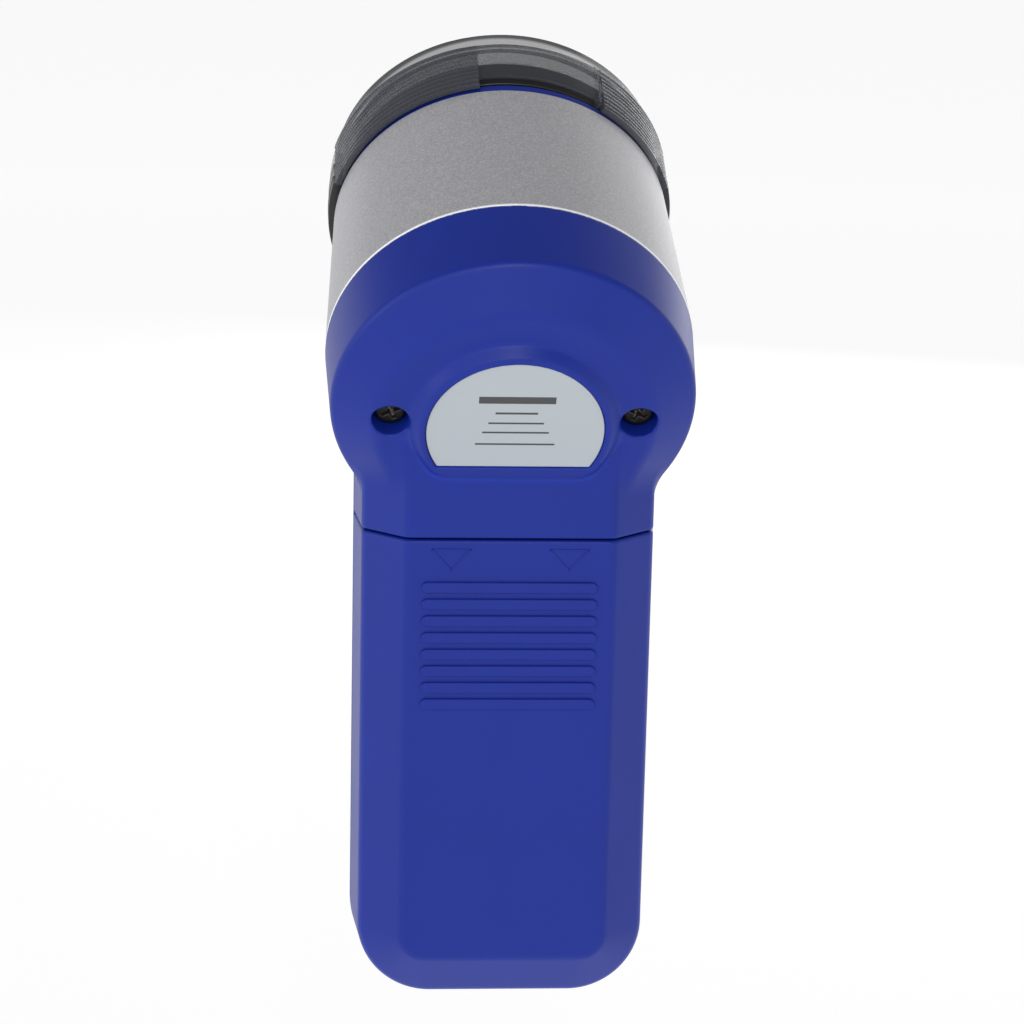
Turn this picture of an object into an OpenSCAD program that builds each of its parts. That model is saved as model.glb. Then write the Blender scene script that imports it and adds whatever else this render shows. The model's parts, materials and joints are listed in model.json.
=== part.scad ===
// Pocket electric shaver with one rotary head, two dry cells side by side in the handle.
// Frame: +Z up along the handle, -Y towards the cap and the switch, +Y towards the battery
// cover. The origin is at the centre of the flat bottom end. The head's own frame has its
// origin at the centre of the flat back of the head, +z along the head's axis to the cap.

/* [Handle] */
// Width of the handle across the chamfer edges
body_w = 37; // [36:0.5:46]
// Depth of the handle, front to back
body_d = 23; // [22:0.5:28]
// Width of the flat centre of the back
facet_w = 26.1; // [22:0.1:28]
// Depth of the long chamfers beside the flat
chamfer_d = 5.3; // [3:0.1:6]
// Height of the chamfer across the bottom end
bottom_chamfer_h = 6.6; // [5:0.1:8]
// Depth of the side walls from the chamfer to the parting line
side_d = 9.5; // [8:0.1:12]
// How much each side wall widens towards the parting line
side_flare = 0.9; // [0.5:0.1:1.2]
// Radius of the bottom corners
corner_r = 9.5; // [7:0.1:11]
// Radius of the edge round the front
front_r = 6; // [3:0.1:7]
// Wall thickness of the mouldings
wall = 1.8; // [1.4:0.1:2.2]

/* [Battery cover] */
// Height of the top edge of the battery cover
cover_h = 62.2; // [61:0.2:76]
// Number of grip ribs
rib_count = 8; // [4:1:9]
// Spacing of the grip ribs
rib_pitch = 2.17; // [1.8:0.01:2.6]
// Length of a grip rib
rib_len = 22.1; // [16:0.1:24]
// Width of a grip rib
rib_w = 1.4; // [1:0.1:1.6]
// Height of the grip ribs and arrows over the flat
rib_h = 0.4; // [0.3:0.05:0.5]
// Distance from the cover's top edge down to the first rib
rib_drop = 5.45; // [5:0.05:7]

/* [Head] */
// Tilt of the head's axis above the horizontal
head_tilt = 30; // [26:0.5:34]
// Distance of the head's centre behind the back of the handle
head_out = 2.4; // [1.5:0.1:4]
// How far the edge of the head's back chamfer stands out past the handle's sides
head_over = 4.17; // [3.9:0.01:9.5]
// Depth of the chamfer round the back of the head
edge_z = 3.58; // [3:0.05:5]
// Radius of the fillets between the handle and the head
neck_r = 7; // [5:0.1:9]
// Height of the neck fillets' start over the cover's top edge
neck_h = 1.8; // [1.2:0.1:5]
// How much the head widens from its chamfer to the collar
band_flare = 0.59; // [0:0.01:1]
// Distance from the back of the head to the collar
band_z = 14.04; // [12:0.02:17]
// How much the collar's radius narrows to its front end
collar_taper = 1.17; // [0.5:0.01:1.4]
// Length of the collar
collar_len = 25.86; // [25.6:0.02:31.2]
// Length of the front ring of the case
ring_len = 1.8; // [1.4:0.05:2.4]

/* [Name plate] */
// Radius of the round boss at its foot
boss_r = 13.2; // [11:0.1:14]
// Height of the boss over the back of the head
boss_h = 1.6; // [1.2:0.1:2]
// Width of the sloping edge of the boss
boss_slope = 1.4; // [1:0.1:1.8]
// Distance of the boss's straight foot below the head's centre
boss_chord = 7.8; // [6:0.1:9]
// Radius of the plate
plate_r = 10.95; // [9:0.05:11.4]
// Distance of the plate's straight edge below the head's centre
plate_chord = 5.5; // [4:0.1:6]
// Thickness of the plate
plate_t = 0.4; // [0.3:0.05:0.6]

/* [Case screws] */
// Distance of each case screw from the centre line
screw_x = 15.3; // [14.5:0.1:18]
// Height of the case screws over the head's centre
screw_y = 0.6; // [0:0.1:2]
// Radius of the sunk hole for a screw's head
screw_bore_r = 2.3; // [2.1:0.05:2.6]
// Radius of a screw's head
screw_head_r = 2; // [1.6:0.05:2.05]
// Depth of the sunk hole
screw_sink = 3.2; // [3:0.1:5.2]
// Length of a case screw under its head
screw_len = 9; // [7:0.5:12]

/* [Cutting head] */
// How far the black blade frame is set in from the collar's front end
frame_step = 0.49; // [0.3:0.01:0.8]
// Length of the blade frame in front of the case
frame_len = 6.6; // [6:0.1:8]
// Height of the blade frame's two side grips
grip_rise = 1.35; // [1:0.05:1.6]
// Outer radius of the slotted shaving track
track_r = 16.4; // [15:0.1:16.6]
// Inner radius of the slotted shaving track
track_inner_r = 10; // [8:0.1:11]
// Number of slots in the outer blade
slot_count = 40; // [20:1:48]
// Width of a slot in the outer blade
slot_w = 0.7; // [0.5:0.05:0.8]
// Number of blades on the inner cutter
cutter_blades = 12; // [6:1:16]

/* [Cap] */
// Free space between the blades and the front wall of the cap
cap_room = 3; // [1:0.1:5]
// Thickness of the cap's side wall
cap_wall = 0.65; // [0.5:0.05:1]
// How far the cap's front band is set in from its side wall
cap_band_step = 0.6; // [0.4:0.05:0.8]
// Thickness of the cap's front wall
cap_t = 1.2; // [1:0.1:1.6]
// Angle of the middle of the smooth window from the top
window_turn = -12; // [-20:1:20]
// Angle that the smooth window spans
window_span = 43; // [30:1:60]

/* [Motor] */
// Radius of the motor can
motor_r = 10.1; // [9:0.1:12]
// Distance between the flats of the motor can
motor_flat = 15.2; // [14:0.1:18]
// Length of the motor can
motor_len = 20.4; // [18:0.1:25]
// Radius of the motor shaft
shaft_r = 1; // [0.75:0.05:1.5]

/* [Cells] */
// Radius of a dry cell
cell_r = 7.1; // [7:0.05:7.25]
// Length of a dry cell without its nub
cell_len = 49.2; // [48:0.1:49.5]
// Distance of each cell's axis from the centre line
cell_x = 7.7; // [7.5:0.1:9]
// Place of the cells' axes from the middle of the handle's depth
cell_y = -0.6; // [-1.4:0.1:0.4]
// Height of the lower end of the cells
cell_z = 8.5; // [8.3:0.1:9.5]

/* [Switch] */
// Length of the switch knob
knob_len = 11; // [8:0.5:14]
// Width of the switch knob
knob_w = 8.6; // [6:0.2:10]
// Height of the knob over the front of the handle
knob_h = 2; // [1.5:0.1:3]
// Travel of the switch knob
switch_travel = 4; // [3:0.5:5]
// Height of the middle of the knob when it is off
switch_z = 49.5; // [46:0.5:50]

/* [Fits] */
// Clearance between pieces that move past each other
run_gap = 0.3; // [0.2:0.05:0.4]
// Clearance between pieces that are assembled together
fit_gap = 0.1; // [0.05:0.05:0.2]
// Radial clearance of the motor shaft in its bearings
shaft_gap = 0.04; // [0.02:0.01:0.1]

/* [Hidden] */
$fn = 96;
BIG = 200;
EPS = 0.02;
SIDES = 8;
plate_lip = 0.3;
arrow_w = 4.8;
arrow_h = 2.6;
arrow_x = 7.4;
arrow_drop = 2.6;
// handle
back_y = body_d / 2;
front_y = -body_d / 2;
parting_y = back_y - chamfer_d - side_d;
half_w = body_w / 2;
wide_w = half_w + side_flare;
chamfer_w = (body_w - facet_w) / 2;
// head: the neck fillets are tangent to the handle's sides and to the head
edge_r = half_w + head_over;
facet_r = edge_r - chamfer_w;
fillet_x = half_w + neck_r;
fillet_drop = sqrt(pow(edge_r + neck_r, 2) - pow(fillet_x, 2));
head_y = back_y + head_out;
head_z = cover_h + neck_h + fillet_drop * cos(head_tilt);
handle_top = head_z - 4;
band_r = edge_r + band_flare;
collar_front_r = band_r - collar_taper;
collar_z = band_z + collar_len;
ring_z = collar_z + ring_len;
collar_wall = 0.95;
barrel_r = collar_front_r - collar_wall;
barrel_in_r = barrel_r - 1.6;
shelf_t = 2.2;
shelf_z = band_z - shelf_t - fit_gap;
shelf_hole_r = 11.5;
floor_t = 2;
post_z = screw_sink + floor_t;
post_r = 3;
post_end = max(band_z, screw_sink + screw_len + 2);
screw_shank_r = 1;
screw_head_h = 1.4;
// motor, on the back of its deck
deck_t = 2;
deck_z = band_z + 21;
motor_z = deck_z - motor_len - 0.01;
bell_len = 4.2;
bell_z = motor_z - bell_len;
terminal_x = 5;
terminal_y = -4.6;
terminal_len = 1.8;
can_wall = 0.8;
magnet_t = 1.9;
armature_r = 5.6;
motor_boss_r = 3;
motor_boss_h = 1.6;
deck_screw_x = 6.5;
deck_screw_r = 0.8;
deck_head_r = 1.6;
deck_head_h = 0.9;
seal_z = deck_z + deck_t;
seal_t = 0.7;
// drive and cutter
drive_z = seal_z + seal_t + 0.2;
drive_flange_t = 0.8;
drive_flange_r = 6.2;
hex_r = 2.6;
hex_gap = 0.16;
hex_len = 4.8;
frame_r = collar_front_r - frame_step;
grip_r = frame_r + grip_rise;
frame_z = ring_z + run_gap;
frame_front_z = frame_z + frame_len;
blade_t = 0.4;
blade_z = frame_front_z - 1.6;
track_z = frame_front_z + 0.8;
frame_lip_r = track_r + 0.4;
frame_in_r = frame_lip_r + 1.3;
plug_r = barrel_in_r - run_gap;
plug_len = 3.2;
cutter_top = track_z - blade_t - 0.15;
cutter_disc_z = blade_z - 2.3;
cutter_disc_t = 1.1;
cutter_ring_t = 0.4;
cutter_out_r = track_r - 0.8;
cutter_in_r = track_inner_r + 0.8;
hub_r = 4.4;
side_grip_half = 14;
// cap
cap_in_r = frame_r + 0.35;
cap_r = cap_in_r + cap_wall;
cap_front_r = cap_r - cap_band_step;
cap_z = track_z + cap_room + cap_t;
cap_edge_z = frame_z + 0.5;
cap_skirt = 1.9;
cap_grip = 0.3;
cap_step_z = cap_z - 4.1;
notch_half = side_grip_half + 2;
notch_z = frame_front_z - 1.2;
// cells and contacts
nub_r = 2.7;
nub_len = 1.2;
chassis_wall = 1.2;
chassis_w = half_w - wall;
chassis_z = 3.4;
chassis_back = 1.5;
chassis_top = cell_z + cell_len + nub_len + 3.8;
chassis_front = front_y + wall + run_gap;
chassis_floor_y = chassis_front + chassis_wall;
contact_t = 0.4;
wire_r = 0.35;
spring_r = 3;
bridge_z = chassis_z + chassis_wall + 0.1;
plus_z = cell_z + cell_len + nub_len + 0.1;
minus_z = chassis_top - chassis_wall - contact_t - 0.1;
lead_r = 0.6;
// switch
stem_w = 3;
stem_len = 4;
stem_z = switch_z + 0.5;
slider_w = 6.4;
slider_len = 8;
slider_t = 0.9;

// ---- frames and helpers ----

// Puts children, made in the head's frame, into place
module at_head() {
    translate([0, head_y, head_z]) rotate([90 - head_tilt, 0, 0]) children();
}

// Tube or disc between two heights in the current frame
module ring(r_out, r_in, z0, z1) {
    difference() {
        translate([0, 0, z0]) cylinder(r = r_out, h = z1 - z0);
        if (r_in > 0) translate([0, 0, z0 - 1]) cylinder(r = r_in, h = z1 - z0 + 2);
    }
}

// Level outline of the handle drawn in by inset
module handle_outline(inset) {
    wide = wide_w - inset;
    r = front_r - inset;
    flank_y = back_y - chamfer_d - inset * 0.4;
    right = [[facet_w / 2 - inset * 0.4, back_y - inset], [half_w - inset, flank_y],
        [wide, parting_y], [wide, front_y + front_r], [wide - r, front_y + inset]];
    polygon(concat(right, [for (i = [len(right) - 1 : -1 : 0]) [-right[i][0], right[i][1]]]));
    for (s = [-1, 1]) translate([s * (wide - r), front_y + front_r]) circle(r = r);
}

// Outline of the handle seen from its side, drawn in by inset
module side_outline(inset, top) {
    r = (front_r - inset) / 2;
    front = front_y + inset;
    polygon([[front, top], [front, inset + r], [front + r, inset],
        [back_y - chamfer_d - inset * 0.4, inset],
        [back_y - inset, bottom_chamfer_h + inset * 0.4], [back_y - inset, top]]);
    translate([front + r, inset + r]) circle(r = r);
}

// Outline of the handle seen from behind, drawn in by inset
module back_outline(inset, top) {
    wide = wide_w - inset;
    r = corner_r - inset;
    translate([-wide, corner_r]) square([2 * wide, top - corner_r]);
    translate([r - wide, inset]) square([2 * (wide - r), corner_r]);
    for (s = [-1, 1]) translate([s * (wide - r), corner_r]) circle(r = r);
}

// Handle drawn in by inset
module handle_solid(inset, top) {
    intersection() {
        linear_extrude(top) handle_outline(inset);
        translate([-BIG / 2, 0, 0]) rotate([90, 0, 90]) linear_extrude(BIG) side_outline(inset, top);
        translate([0, BIG / 2, 0]) rotate([90, 0, 0]) linear_extrude(BIG) back_outline(inset, top);
    }
}

// Round part of the head behind the collar, drawn in by inset
module head_puck(inset) {
    rotate_extrude() polygon([
        [0, inset], [facet_r - inset * 0.3, inset], [edge_r - inset, edge_z + inset * 0.4],
        [band_r - inset, band_z], [0, band_z]]);
}

// Webs that fillet the handle's sides into the head
module neck_web() {
    intersection() {
        at_head() translate([0, 0, edge_z]) linear_extrude(band_z + 10) difference() {
            polygon([[-fillet_x, -fillet_drop], [fillet_x, -fillet_drop], [0, 0]]);
            for (s = [-1, 1]) translate([s * fillet_x, -fillet_drop]) circle(r = neck_r);
        }
        translate([-BIG / 2, front_y + front_r, 0])
            cube([BIG, back_y - chamfer_d - front_y - front_r, BIG]);
    }
}

// Whole blue body before it is split
module body_solid() {
    handle_solid(0, handle_top);
    at_head() head_puck(0);
    neck_web();
}

// Space inside the body
module body_hollow() {
    handle_solid(wall, handle_top + 1);
    at_head() head_puck(wall);
}

// Everything in front of a plane across the head's axis
module ahead_of(z) {
    at_head() translate([-BIG / 2, -BIG / 2, z]) cube(BIG);
}

// Everything on the back side of an upright plane
module behind(y) {
    translate([-BIG / 2, y, -BIG / 2]) cube([BIG, BIG, BIG * 2]);
}

// Everything in front of the parting plane
module ahead_of_parting() {
    translate([0, -BIG, 0]) behind(parting_y);
}

// Everything above a level plane
module above(z) {
    translate([-BIG / 2, -BIG / 2, z]) cube(BIG);
}

module screw_places() {
    for (s = [-1, 1]) translate([s * screw_x, screw_y, 0]) children();
}

// The part of round children above a straight edge across the head
module chord_cut(chord) {
    intersection() {
        children();
        translate([-BIG / 2, -chord, -BIG / 2]) cube(BIG);
    }
}

// Wedge of the head between two angles, counted clockwise from its top
module sector(from, to, z0, z1) {
    steps = 6;
    outline = concat([[0, 0]],
        [for (i = [0 : steps]) let (a = from + (to - from) * i / steps)
            [sin(a) * BIG / 4, cos(a) * BIG / 4]]);
    translate([0, 0, z0]) linear_extrude(z1 - z0) polygon(outline);
}

// Round wire swept along a list of points
module wire(path, r) {
    n = len(path);
    tangents = [for (i = [0 : n - 1])
        let (d = path[min(i + 1, n - 1)] - path[max(i - 1, 0)]) d / norm(d)];
    rings = [for (i = [0 : n - 1])
        let (t = tangents[i],
            ref = abs(t[2]) > 0.8 ? [1, 0, 0] : [0, 0, 1],
            u = cross(t, ref) / norm(cross(t, ref)),
            v = cross(t, u))
        [for (k = [0 : SIDES - 1])
            path[i] + r * (u * cos(k * 360 / SIDES) + v * sin(k * 360 / SIDES))]];
    m = SIDES;
    faces = concat(
        [for (i = [0 : n - 2], k = [0 : m - 1]) each [
            [i * m + k, (i + 1) * m + k, i * m + (k + 1) % m],
            [i * m + (k + 1) % m, (i + 1) * m + k, (i + 1) * m + (k + 1) % m]]],
        [for (k = [1 : m - 2]) [0, k, k + 1]],
        [for (k = [1 : m - 2]) [(n - 1) * m, (n - 1) * m + k + 1, (n - 1) * m + k]]);
    polyhedron([for (ring = rings) each ring], faces, convexity = 10);
}

// Coil spring from the origin up
module coil(r, length, turns) {
    steps = turns * 12;
    wire([for (i = [0 : steps])
        [r * cos(i * 30), r * sin(i * 30), wire_r + (length - 2 * wire_r) * i / steps]], wire_r);
}

// Points of a bent lead, with its corners rounded by steps
function bend(a, b, c) = [for (t = [0 : 0.125 : 1])
    a * pow(1 - t, 2) + b * 2 * t * (1 - t) + c * pow(t, 2)];

// ---- mouldings of the case ----

module front_case() {
    slot_lo = stem_z - stem_len / 2 - run_gap;
    slot_hi = stem_z + stem_len / 2 + switch_travel + run_gap;
    color("mediumblue") difference() {
        union() {
            difference() {
                body_solid();
                body_hollow();
                behind(parting_y);
                at_head() translate([0, 0, band_z]) cylinder(r = band_r + run_gap, h = BIG / 2);
            }
            // sloping shelf that joins the handle to the barrel
            intersection() {
                union() {
                    difference() {
                        handle_solid(wall / 2, handle_top);
                        behind(parting_y);
                    }
                    at_head() head_puck(wall + fit_gap);
                }
                at_head() translate([-BIG / 2, -BIG / 2, shelf_z]) cube([BIG, BIG, shelf_t]);
            }
            at_head() {
                ring(barrel_r, barrel_in_r, shelf_z, ring_z);
                ring(frame_r, barrel_in_r, collar_z + fit_gap, ring_z);
                screw_places() translate([0, 0, post_z]) cylinder(r = post_r, h = post_end - post_z);
            }
        }
        at_head() {
            translate([0, 0, shelf_z - 1]) cylinder(r = shelf_hole_r, h = BIG);
            screw_places() cylinder(r = screw_shank_r + fit_gap / 2, h = screw_sink + screw_len + 1);
        }
        translate([-stem_w / 2 - run_gap, front_y - 1, slot_lo])
            cube([stem_w + 2 * run_gap, wall + 2, slot_hi - slot_lo]);
    }
}

// Round boss that the name plate sits in
module plate_boss() {
    chord_cut(boss_chord) translate([0, 0, -boss_h])
        cylinder(r1 = boss_r - boss_slope, r2 = boss_r, h = boss_h + 1);
}

module rear_case() {
    color("mediumblue") difference() {
        union() {
            difference() {
                body_solid();
                body_hollow();
                ahead_of(band_z);
                ahead_of_parting();
                translate([0, 0, cover_h - BIG]) above(0);
            }
            at_head() {
                plate_boss();
                screw_places() translate([0, 0, wall / 2])
                    cylinder(r = screw_bore_r + 1.2, h = post_z - wall / 2);
            }
        }
        at_head() {
            screw_places() translate([0, 0, -5]) cylinder(r = screw_bore_r, h = screw_sink + 5);
            screw_places() cylinder(r = screw_shank_r + 0.2, h = BIG / 2);
            chord_cut(plate_chord + fit_gap) translate([0, 0, -BIG])
                cylinder(r = plate_r + fit_gap, h = BIG + plate_lip + plate_t - boss_h + 0.02);
        }
    }
}

module name_plate() {
    color("lightgray") at_head() chord_cut(plate_chord)
        translate([0, 0, plate_lip - boss_h]) cylinder(r = plate_r, h = plate_t);
}

// Rounded bar standing on the back flat
module back_bar(length, width, x, z) {
    translate([x, back_y - 0.2, z]) rotate([-90, 0, 0]) linear_extrude(rib_h + 0.2) {
        square([length - width, width], center = true);
        for (s = [-1, 1]) translate([s * (length - width) / 2, 0]) circle(d = width);
    }
}

module battery_cover() {
    color("mediumblue") {
        difference() {
            handle_solid(0, cover_h);
            handle_solid(wall, cover_h + 1);
            ahead_of_parting();
        }
        for (i = [0 : rib_count - 1])
            back_bar(rib_len, rib_w, 0, cover_h - rib_drop - rib_w / 2 - i * rib_pitch);
        // arrows that show which way the cover slides
        for (s = [-1, 1]) translate([s * arrow_x, back_y - 0.2, cover_h - arrow_drop])
            rotate([-90, 0, 0]) linear_extrude(rib_h + 0.2)
                polygon([[-arrow_w / 2, -arrow_h / 2], [arrow_w / 2, -arrow_h / 2], [0, arrow_h / 2]]);
        // tongue that slips under the rear case
        translate([-9, back_y - wall - 1.1, cover_h - 3]) cube([18, 1.3, 3 - fit_gap]);
        translate([-9, back_y - wall - 1.1, cover_h - 1]) cube([18, 0.8, 3]);
    }
}

module head_collar() {
    color("silver") at_head() rotate_extrude() polygon([
        [barrel_r + fit_gap / 2, band_z], [band_r, band_z],
        [collar_front_r, collar_z], [barrel_r + fit_gap / 2, collar_z]]);
}

module case_screws() {
    color("dimgray") at_head() screw_places() difference() {
        union() {
            translate([0, 0, screw_sink - screw_head_h]) cylinder(r = screw_head_r, h = screw_head_h);
            translate([0, 0, screw_sink]) cylinder(r = screw_shank_r, h = screw_len);
        }
        // cross recess
        for (a = [0, 90]) translate([0, 0, screw_sink - screw_head_h]) rotate(a)
            cube([screw_head_r * 1.2, 0.5, 1.6], center = true);
    }
}

// ---- cap and cutting head ----

module protective_cap() {
    color("gray", 0.5) at_head() difference() {
        union() {
            rotate_extrude() polygon([
                [0, cap_z], [cap_front_r - 1.2, cap_z], [cap_front_r - 0.35, cap_z - 0.35],
                [cap_front_r, cap_z - 1.2], [cap_front_r, cap_step_z], [cap_r, cap_step_z - 0.2],
                [cap_r, cap_edge_z], [cap_in_r, cap_edge_z], [cap_in_r, cap_step_z],
                [cap_front_r - 1.1, cap_step_z + 1], [cap_front_r - 1.1, cap_z - cap_t],
                [0, cap_z - cap_t]]);
            // thicker grips, which reach further back
            for (turn = [0, 180]) rotate(turn) difference() {
                ring(cap_r + cap_grip, cap_in_r, cap_edge_z - cap_skirt, cap_step_z - 0.8);
                sector(window_turn - window_span / 2, window_turn + window_span / 2, 0, BIG);
                sector(90, 180, 0, BIG);
                sector(180, 270, 0, BIG);
            }
        }
        // notches that leave the frame's side grips open
        for (s = [-90, 90]) sector(s - notch_half, s + notch_half, 0, notch_z + run_gap);
    }
}

module blade_frame() {
    lip_z = blade_z + blade_t + 0.05;
    color("black") at_head() {
        rotate_extrude() polygon([
            [frame_in_r, ring_z - plug_len], [plug_r, ring_z - plug_len], [plug_r, frame_z],
            [frame_r, frame_z], [frame_r, notch_z - 0.4], [frame_r - 1.2, frame_front_z],
            [frame_lip_r, frame_front_z], [frame_lip_r, lip_z], [frame_in_r, lip_z]]);
        for (s = [-90, 90]) intersection() {
            ring(grip_r, frame_in_r, frame_z, notch_z);
            sector(s - side_grip_half, s + side_grip_half, 0, BIG);
        }
    }
}

module outer_blade() {
    color("gainsboro") at_head() difference() {
        rotate_extrude() polygon([
            [0, blade_z], [0, blade_z + blade_t], [track_inner_r, blade_z + blade_t],
            [track_inner_r, track_z], [track_r, track_z], [track_r, blade_z + blade_t],
            [frame_in_r - fit_gap, blade_z + blade_t], [frame_in_r - fit_gap, blade_z],
            [track_r - blade_t, blade_z], [track_r - blade_t, track_z - blade_t],
            [track_inner_r + blade_t, track_z - blade_t], [track_inner_r + blade_t, blade_z]]);
        for (i = [0 : slot_count - 1]) rotate(i * 360 / slot_count)
            translate([track_inner_r + 0.9, -slot_w / 2, track_z - 1])
                cube([track_r - track_inner_r - 1.8, slot_w, 2]);
    }
}

module blade_retainer() {
    color("whitesmoke") at_head()
        ring(frame_in_r - fit_gap, track_r + 0.2, blade_z - 3.4, blade_z - fit_gap);
}

module cutter_hub() {
    hub_z = drive_z + 2.2;
    color("whitesmoke") at_head() difference() {
        union() {
            translate([0, 0, cutter_disc_z]) cylinder(r = cutter_out_r - 0.2, h = cutter_disc_t);
            translate([0, 0, hub_z]) cylinder(r = hub_r, h = cutter_disc_z - hub_z + EPS);
        }
        translate([0, 0, drive_z])
            cylinder(r = hex_r + hex_gap, h = hex_len + drive_flange_t + 0.5, $fn = 6);
        // openings between the spokes
        for (i = [0 : 5]) rotate(i * 60 + 30)
            translate([7.4, 0, cutter_disc_z - 1]) cylinder(r = 2.1, h = 4);
    }
}

module cutter_blades() {
    fin_z = cutter_disc_z + cutter_disc_t;
    color("lightsteelblue") at_head() {
        ring(cutter_out_r, cutter_in_r, fin_z, fin_z + cutter_ring_t);
        for (i = [0 : cutter_blades - 1]) rotate(i * 360 / cutter_blades)
            translate([cutter_in_r + 0.2, 0, fin_z]) rotate([20, 0, 0])
                cube([cutter_out_r - cutter_in_r - 0.6, 0.4, (cutter_top - fin_z) / cos(20) - 0.15]);
    }
}

module drive_coupling() {
    color("white") at_head() difference() {
        union() {
            translate([0, 0, drive_z]) cylinder(r = drive_flange_r, h = drive_flange_t);
            translate([0, 0, drive_z]) cylinder(r = hex_r, h = drive_flange_t + hex_len, $fn = 6);
        }
        translate([0, 0, drive_z - 1]) cylinder(r = shaft_r + shaft_gap / 2, h = 4.5);
    }
}

module coupling_spring() {
    spring_z = drive_z + drive_flange_t + fit_gap;
    color("silver") at_head() translate([0, 0, spring_z])
        coil(5.4, cutter_disc_z - spring_z - fit_gap, 3);
}

// ---- motor ----

module motor_section(grow) {
    intersection() {
        circle(r = motor_r + grow);
        square([3 * motor_r, motor_flat + 2 * grow], center = true);
    }
}

module motor_can() {
    color("silver") at_head() difference() {
        union() {
            translate([0, 0, motor_z]) linear_extrude(motor_len) motor_section(0);
            translate([0, 0, deck_z - 0.1]) cylinder(r = motor_boss_r, h = motor_boss_h + 0.1);
        }
        translate([0, 0, motor_z - 1]) linear_extrude(motor_len + 1 - can_wall) motor_section(-can_wall);
        translate([0, 0, motor_z]) cylinder(r = shaft_r + shaft_gap, h = BIG);
        for (s = [-1, 1]) translate([s * deck_screw_x, 0, deck_z - 3])
            cylinder(r = deck_screw_r + 0.05, h = 4);
    }
}

module motor_magnets() {
    out_r = motor_r - can_wall - fit_gap;
    color("dimgray") at_head() for (s = [0, 180]) rotate(s) intersection() {
        ring(out_r, out_r + fit_gap - magnet_t, motor_z + 3, deck_z - 4.5);
        sector(60, 120, 0, BIG);
    }
}

module motor_end_bell() {
    color("white") at_head() {
        difference() {
            translate([0, 0, bell_z]) linear_extrude(bell_len) motor_section(-0.2);
            translate([0, 0, bell_z + 1.2]) cylinder(r = 6.4, h = bell_len);
            translate([0, 0, bell_z - 1]) cylinder(r = shaft_r + shaft_gap, h = 9);
        }
        // terminals
        for (s = [-1, 1]) translate([s * terminal_x - 0.9, terminal_y, bell_z - terminal_len])
            cube([1.8, 0.4, terminal_len + 0.4]);
    }
}

module motor_shaft() {
    color("silver") at_head() translate([0, 0, bell_z - 0.8])
        cylinder(r = shaft_r, h = drive_z + 3.4 - bell_z + 0.8);
}

module motor_armature() {
    color("peru") at_head() difference() {
        union() {
            translate([0, 0, motor_z + 3.4]) cylinder(r = armature_r, h = motor_len - 8.4);
            translate([0, 0, motor_z - 1.6]) cylinder(r = 2.4, h = 5.2);
        }
        translate([0, 0, motor_z - 3]) cylinder(r = shaft_r + shaft_gap / 2, h = BIG);
        for (i = [0 : 2]) rotate(i * 120)
            translate([armature_r, 0, motor_z + 2]) cylinder(r = 1.4, h = BIG);
    }
}

module motor_deck() {
    color("dimgray") at_head() difference() {
        translate([0, 0, deck_z]) cylinder(r = barrel_in_r - fit_gap, h = deck_t);
        translate([0, 0, deck_z - 1]) cylinder(r = motor_boss_r + fit_gap, h = motor_boss_h + 1 + fit_gap);
        translate([0, 0, deck_z]) cylinder(r = shaft_r + run_gap, h = BIG);
        for (s = [-1, 1]) translate([s * deck_screw_x, 0, deck_z - 1]) {
            cylinder(r = deck_screw_r + 0.2, h = 4);
            translate([0, 0, 1 + deck_t - deck_head_h]) cylinder(r = deck_head_r + fit_gap, h = 2);
        }
    }
}

module motor_screws() {
    color("silver") at_head() for (s = [-1, 1]) translate([s * deck_screw_x, 0, 0]) {
        translate([0, 0, deck_z + deck_t - deck_head_h])
            cylinder(r = deck_head_r, h = deck_head_h - fit_gap);
        translate([0, 0, deck_z - 1.6]) cylinder(r = deck_screw_r, h = 1.6 + deck_t - deck_head_h + EPS);
    }
}

module shaft_seal() {
    color("darkgray") at_head() ring(3.6, shaft_r + shaft_gap, seal_z, seal_z + seal_t);
}

// ---- inside the handle ----

// Tray drawn in by inset: level outline, cut to the rounded outline seen from behind
module tray(inset) {
    w = chassis_w - inset;
    y = chassis_front + inset;
    r = corner_r - wall - 0.3 - inset;
    intersection() {
        linear_extrude(chassis_top - inset) polygon([
            [-w + 5.5, y], [w - 5.5, y], [w - 0.6, y + 2.2], [w, y + 4], [w, BIG],
            [-w, BIG], [-w, y + 4], [-w + 0.6, y + 2.2]]);
        translate([0, front_y, 0]) rotate([90, 0, 180]) linear_extrude(BIG) {
            translate([-w, chassis_z + inset + r]) square([2 * w, BIG]);
            translate([-w + r, chassis_z + inset]) square([2 * (w - r), BIG]);
            for (s = [-1, 1]) translate([s * (w - r), chassis_z + inset + r]) circle(r = r);
        }
    }
}

module battery_chassis() {
    color("gray") difference() {
        tray(0);
        difference() {
            tray(chassis_wall);
            // low rib between the cells
            translate([-0.5, front_y, 0]) cube([1, body_d / 2 - 5, BIG]);
        }
        behind(chassis_back);
        ahead_of(shelf_z - run_gap);
        // window for the switch slider
        translate([-slider_w / 2 - run_gap, front_y, stem_z - slider_len / 2 - run_gap])
            cube([slider_w + 2 * run_gap, body_d / 2 - 5, slider_len + switch_travel + 2 * run_gap]);
    }
}

// Dry cell whose plus end points up or down
module cell(x, up) {
    color("goldenrod") translate([x, cell_y, cell_z]) {
        cylinder(r = cell_r, h = cell_len);
        translate([0, 0, up ? cell_len : -nub_len]) cylinder(r = nub_r, h = nub_len);
    }
}

module cell_left() { cell(-cell_x, true); }

module cell_right() { cell(cell_x, false); }

// Level contact strip with its lowest face at z
module strip(x0, x1, y0, y1, z) {
    translate([x0, y0, z]) cube([x1 - x0, y1 - y0, contact_t]);
}

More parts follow.
